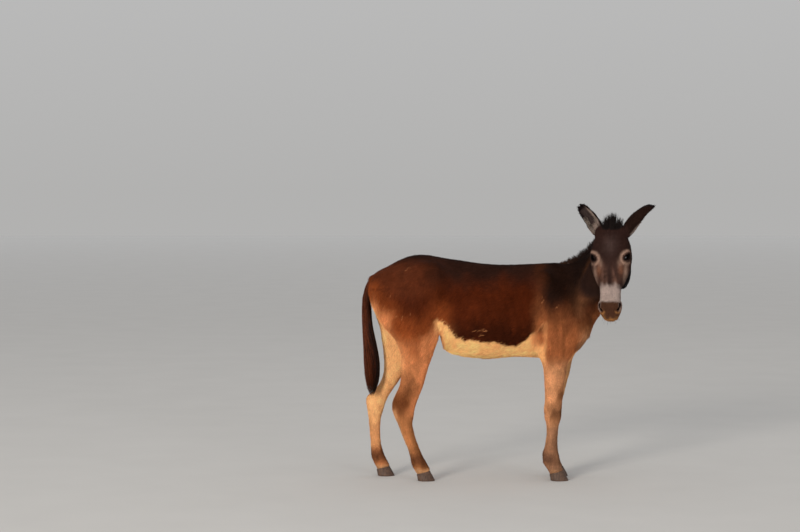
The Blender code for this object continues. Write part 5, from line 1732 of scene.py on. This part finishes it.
# ---------------------------------------------------------------- materials
class Surface:
    """A material under construction: one shader and short ways of adding nodes to it."""

    def __init__(self, name, roughness, specular):
        self.material = bpy.data.materials.new(name)
        self.material.use_nodes = True
        self.tree = self.material.node_tree
        self.shader = self.tree.nodes["Principled BSDF"]
        self.shader.inputs["Roughness"].default_value = roughness
        self.shader.inputs["Specular IOR Level"].default_value = specular

    def add(self, kind, inputs=(), **settings):
        """A new node's outputs; an input is another node's output or a plain value."""
        node = self.tree.nodes.new(kind)
        for key, value in settings.items():
            setattr(node, key, value)
        for key, value in dict(inputs).items():
            if isinstance(value, bpy.types.NodeSocket):
                self.tree.links.new(value, node.inputs[key])
            else:
                node.inputs[key].default_value = value
        return node.outputs

    def grain(self, scale, stretch=(1, 1, 1), turn=(0, 0, 0), detail=3.0):
        """Noise stretched along the object's axes after a turn."""
        place = self.add("ShaderNodeTexCoord")["Object"]
        inputs = {"Vector": place, "Rotation": turn, "Scale": stretch}
        turned = self.add("ShaderNodeMapping", inputs, vector_type="TEXTURE")["Vector"]
        inputs = {"Vector": turned, "Scale": scale, "Detail": detail, "Roughness": 0.6}
        return self.add("ShaderNodeTexNoise", inputs)["Fac"]

    def between(self, value, low, high, out_low=0.0, out_high=1.0):
        """A value carried from the range low to high over to the range out_low to out_high."""
        inputs = {"Value": value, "From Min": low, "From Max": high, "To Min": out_low, "To Max": out_high}
        return self.add("ShaderNodeMapRange", inputs)["Result"]

    def maths(self, operation, a, b):
        return self.add("ShaderNodeMath", {0: a, 1: b}, operation=operation)["Value"]

    def scaled(self, colour, amount):
        """A colour made lighter or darker by a number that varies over the surface."""
        inputs = {0: colour, "Scale": amount}
        return self.add("ShaderNodeVectorMath", inputs, operation="SCALE")["Vector"]

    def mixed(self, share, first, second):
        inputs = {0: share, 6: (*first, 1), 7: (*second, 1)}
        return self.add("ShaderNodeMix", inputs, data_type="RGBA")[2]

    def bump(self, height, strength, distance):
        inputs = {"Height": height, "Strength": strength, "Distance": distance}
        self.tree.links.new(self.add("ShaderNodeBump", inputs)["Normal"], self.shader.inputs["Normal"])

    def colour(self, socket):
        self.tree.links.new(socket, self.shader.inputs["Base Color"])

    def roughness(self, socket):
        self.tree.links.new(socket, self.shader.inputs["Roughness"])


def hide_material():
    """Skin and the short hair on it: fine streaks along the lie of the coat."""
    s = Surface("short_coat", 0.66, 0.02)
    coat_colour = s.add("ShaderNodeAttribute", attribute_name="Coat")["Color"]
    zones = s.add("ShaderNodeAttribute", attribute_name="Zones")["Color"]
    zones = s.add("ShaderNodeSeparateColor", {"Color": zones})
    streaks = []
    for zone, stretch, turn in (
        ("Red", (7.0, 1.0, 1.0), (0, math.radians(22), 0)),
        ("Green", (1.0, 1.0, 6.0), (0, 0, 0)),
        ("Blue", (1.0, 1.0, 5.0), (math.radians(-20), 0, -HEAD_YAW)),
    ):
        streaks.append(s.maths("MULTIPLY", s.grain(620, stretch, turn, 4.0), zones[zone]))
    hair = s.maths("ADD", s.maths("ADD", streaks[0], streaks[1]), streaks[2])
    clump = s.grain(55, detail=2.0)
    streaked, clumped = s.between(hair, 0.25, 0.75, 0.72, 1.26), s.between(clump, 0.3, 0.7, 0.90, 1.09)
    shade = s.maths("MULTIPLY", streaked, clumped)
    s.colour(s.scaled(coat_colour, shade))
    s.roughness(s.between(hair, 0.3, 0.7, 0.70, 0.54))
    s.bump(hair, 0.55, 0.0012)
    return s.material


def coloured(name, roughness, specular, scale, stretch, detail, shades, shine=()):
    """A surface in its piece's own colours, with a fine grain of light and dark and of shine."""
    s = Surface(name, roughness, specular)
    own = s.add("ShaderNodeAttribute", attribute_name="Coat")["Color"]
    fine = s.grain(scale, stretch, detail=detail)
    s.colour(s.scaled(own, s.between(fine, 0.3, 0.7, *shades)))
    if shine:
        s.roughness(s.between(fine, 0.3, 0.7, *shine))
    return s


def eye_material():
    """Wet eyeball over a dark brown iris."""
    s = coloured("eye_gloss", 0.05, 0.5, 900, (1, 1, 1), 3.0, (0.8, 1.2))
    s.shader.inputs["Coat Weight"].default_value = 0.6
    s.shader.inputs["Coat Roughness"].default_value = 0.02
    return s.material


def horn_material():
    """Dry hoof wall: upright fibres crossed by growth bands, with blotches of wear."""
    s = Surface("hoof_horn", 0.6, 0.3)
    fibres = s.grain(260, (1, 1, 12), detail=4.0)
    bands = s.grain(90, (9, 9, 1), detail=3.0)
    wear = s.grain(38, detail=4.0)
    dark = s.mixed(s.between(fibres, 0.35, 0.65), tone(58, 43, 35), tone(98, 74, 60))
    banded, worn = s.between(bands, 0.35, 0.65, 0.86, 1.12), s.between(wear, 0.3, 0.7, 0.82, 1.14)
    shade = s.maths("MULTIPLY", banded, worn)
    s.colour(s.scaled(dark, shade))
    s.roughness(s.between(wear, 0.3, 0.7, 0.52, 0.72))
    s.bump(s.maths("ADD", fibres, bands), 0.30, 0.0008)
    return s.material


# ---------------------------------------------------------------- putting it together
CAMERA_AT = (-0.587, -11.363, 1.600)  # in the frame's own coordinates
CAMERA_DOWN = math.radians(2.1)
CAMERA_ANGLE = math.radians(21.77)
FLOOR_HALF = 60.0  # half width of the floor
SKY_STRENGTH = 0.62
SKY_LOW, SKY_HIGH = (0.72, 0.715, 0.705), (0.97, 0.98, 1.0)
# Lights: name, place, aim, size, power, colour
LIGHTS = (
    ("key", (-11.5, -22.0, 6.0), (0.0, 0.0, 0.75), 7.0, 1290, (1.0, 0.94, 0.86)),
    ("fill", (12.0, -22.0, 6.0), (0.0, 0.0, 0.75), 8.0, 195, (0.96, 0.97, 1.0)),
)


def unwrap(obj):
    """Gives the skin its own map, cut into flat charts by the way the surface faces."""
    obj.data.uv_layers.new(name="OFBake")
    bpy.context.view_layer.objects.active = obj
    obj.select_set(True)
    bpy.ops.object.mode_set(mode="EDIT")
    bpy.ops.mesh.select_all(action="SELECT")
    bpy.ops.uv.smart_project(angle_limit=math.radians(66), island_margin=0.003)
    bpy.ops.object.mode_set(mode="OBJECT")
    obj.select_set(False)


def root_finder(mesh):
    """A function from hair roots to their places on the skin's map."""
    tri, loops = triangles_of(mesh)
    uv = map_places(mesh)
    tree = BVHTree.FromPolygons(mesh_points(mesh).tolist(), tri.tolist())

    def places(roots):
        found = [tree.find_nearest(Vector(r))[2] for r in roots]
        return uv[loops[found]].mean(1)

    return places


def area_light(name, at, aim, size, power, colour):
    """A soft round lamp turned to its aim."""
    data = bpy.data.lights.new(name, "AREA")
    data.shape, data.size, data.energy, data.color = "DISK", size, power, colour
    data.spread = math.radians(90)
    obj = add_object(name, data)
    obj.location = at
    obj.rotation_euler = (Vector(aim) - Vector(at)).to_track_quat("-Z", "Y").to_euler()


def stage():
    """Pale floor that fades into the surroundings, soft light, and the camera."""
    corners = np.array(((-1, -1, 0), (1, -1, 0), (1, 1, 0), (-1, 1, 0))) * FLOOR_HALF
    floor = add_object("floor", new_mesh("floor", corners, [(0, 1, 2, 3)]))
    s = Surface("floor_paint", 0.9, 0.1)
    place = s.add("ShaderNodeTexCoord")["Object"]
    distance = s.add("ShaderNodeVectorMath", {0: place}, operation="LENGTH")["Value"]
    fade = s.between(distance, 14.0, 55.0)
    shade = s.between(s.grain(2.0, detail=2.0), 0.3, 0.7, 0.985, 1.015)
    s.colour(s.scaled(s.mixed(fade, (0.60, 0.585, 0.56), (0.72, 0.71, 0.69)), shade))
    floor.data.materials.append(s.material)

    world = bpy.data.worlds.new("surroundings")
    bpy.context.scene.world = world
    world.use_nodes = True
    tree = world.node_tree
    sky = tree.nodes["Background"]
    up = tree.nodes.new("ShaderNodeSeparateXYZ")
    tree.links.new(tree.nodes.new("ShaderNodeTexCoord").outputs["Generated"], up.inputs[0])
    ramp = tree.nodes.new("ShaderNodeValToRGB")
    ramp.color_ramp.elements[0].color = (*SKY_LOW, 1)
    ramp.color_ramp.elements[1].color = (*SKY_HIGH, 1)
    ramp.color_ramp.elements[1].position = 0.35
    tree.links.new(up.outputs["Z"], ramp.inputs["Fac"])
    tree.links.new(ramp.outputs["Color"], sky.inputs["Color"])
    sky.inputs["Strength"].default_value = SKY_STRENGTH
    for row in LIGHTS:
        area_light(*row)

    camera = bpy.data.cameras.new("camera")
    camera.angle = CAMERA_ANGLE
    camera.clip_end = 300
    view = add_object("camera", camera)
    view.location = CAMERA_AT
    view.rotation_euler = (math.pi / 2 - CAMERA_DOWN, 0, 0)
    bpy.context.scene.camera = view
    bpy.context.scene.view_settings.view_transform = "Standard"


# The nodes that the skin replaces
SKIN_STANDS_FOR = (
    "trunk", "neck", "head", "ear_left", "ear_right",
    "foreleg_left", "foreleg_right", "hindleg_left", "hindleg_right",
)
SKIN_SHADE = 0.80  # the skin between the tufts is darker than they are


def finish_skin(obj, material):
    """The skin's colours, the three zones of its grain, its place in the frame and its nodes."""
    mesh = obj.data
    points = mesh_points(mesh)
    at = spots(points, mesh_normals(mesh))
    write_colour(mesh, "Coat", coat_colours(at) * SKIN_SHADE)
    upright = np.clip(at.legs + at.neck + at.ear, 0, 1)
    on_head = at.head * (1 - at.ear)
    zones = ((1 - upright) * (1 - on_head), upright * (1 - on_head), on_head)
    write_colour(mesh, "Zones", np.stack(zones, 1))
    move_points(mesh, points - MODEL_CENTRE)
    mesh.shade_smooth()
    settle_piece(obj, material, "coat_body", *SKIN_STANDS_FOR)


def mane_colours(paths):
    """Dark hair, browner over the withers."""
    dark = tone(34, 20, 16) * (1 + 0.25 * noise(paths[:, 0], 0.03, 40))[:, None]
    return dark + (tone(74, 48, 34) - dark) * rise(paths[:, 0, 0], 0.60, 0.45)[:, None] * 0.5


def tail_colours(paths):
    """Dark hair with a rusty rear edge high up."""
    rear = rise(paths[:, 4, 0], -0.600, -0.628)[:, None]
    bright = rise(noise(paths[:, 0], 0.012, 41), 0.2, 0.9)[:, None]
    upper = rise(paths[:, 5, 2], 0.52, 0.74)[:, None]
    share = np.clip((0.7 + 0.3 * bright) * rear * upper, 0, 1)
    return tone(34, 18, 13) + (tone(104, 50, 26) - tone(34, 18, 13)) * share


# Hair pieces: name, paths, radius at the root in metres, colour, its variation, slot, replaced node
HAIR_PIECES = (
    ("mane_hairs", mane_paths, 0.0016, mane_colours, 0.18, "mane_hair", "mane"),
    ("forelock_hairs", forelock_paths, 0.0014, tone(24, 17, 15), 0.22, "mane_hair", "forelock"),
    ("tail_hairs", tail_paths, 0.0015, tail_colours, 0.18, "tail_hair", "tail"),
    ("ear_hairs", ear_hair_paths, 0.0005, tone(128, 114, 104), 0.30, "coat_ear"),
    ("lashes", lash_paths, 0.00035, tone(20, 15, 14), 0.10, "coat_head"),
)

skin_object = skin_mesh()
unwrap(skin_object)
fur = coloured("coat_tufts", 0.62, 0.02, 900, (1, 1, 1), 2.0, (0.86, 1.14), (0.66, 0.52)).material
hair = coloured("long_hair", 0.50, 0.08, 420, (1, 1, 4), 3.0, (0.78, 1.20), (0.52, 0.34)).material
coat(skin_object.data, fur)
find = root_finder(skin_object.data)
for name, make_paths, root_width, colour, vary, slot, *nodes in HAIR_PIECES:
    hair_piece(name, make_paths(), root_width, colour, vary, find, hair, slot, *nodes)
finish_skin(skin_object, hide_material())
gloss, wall = eye_material(), horn_material()
eye("ball_left", 1, gloss)
eye("ball_right", -1, gloss)
for row in HOOVES:
    horn(*row, wall)
stage()
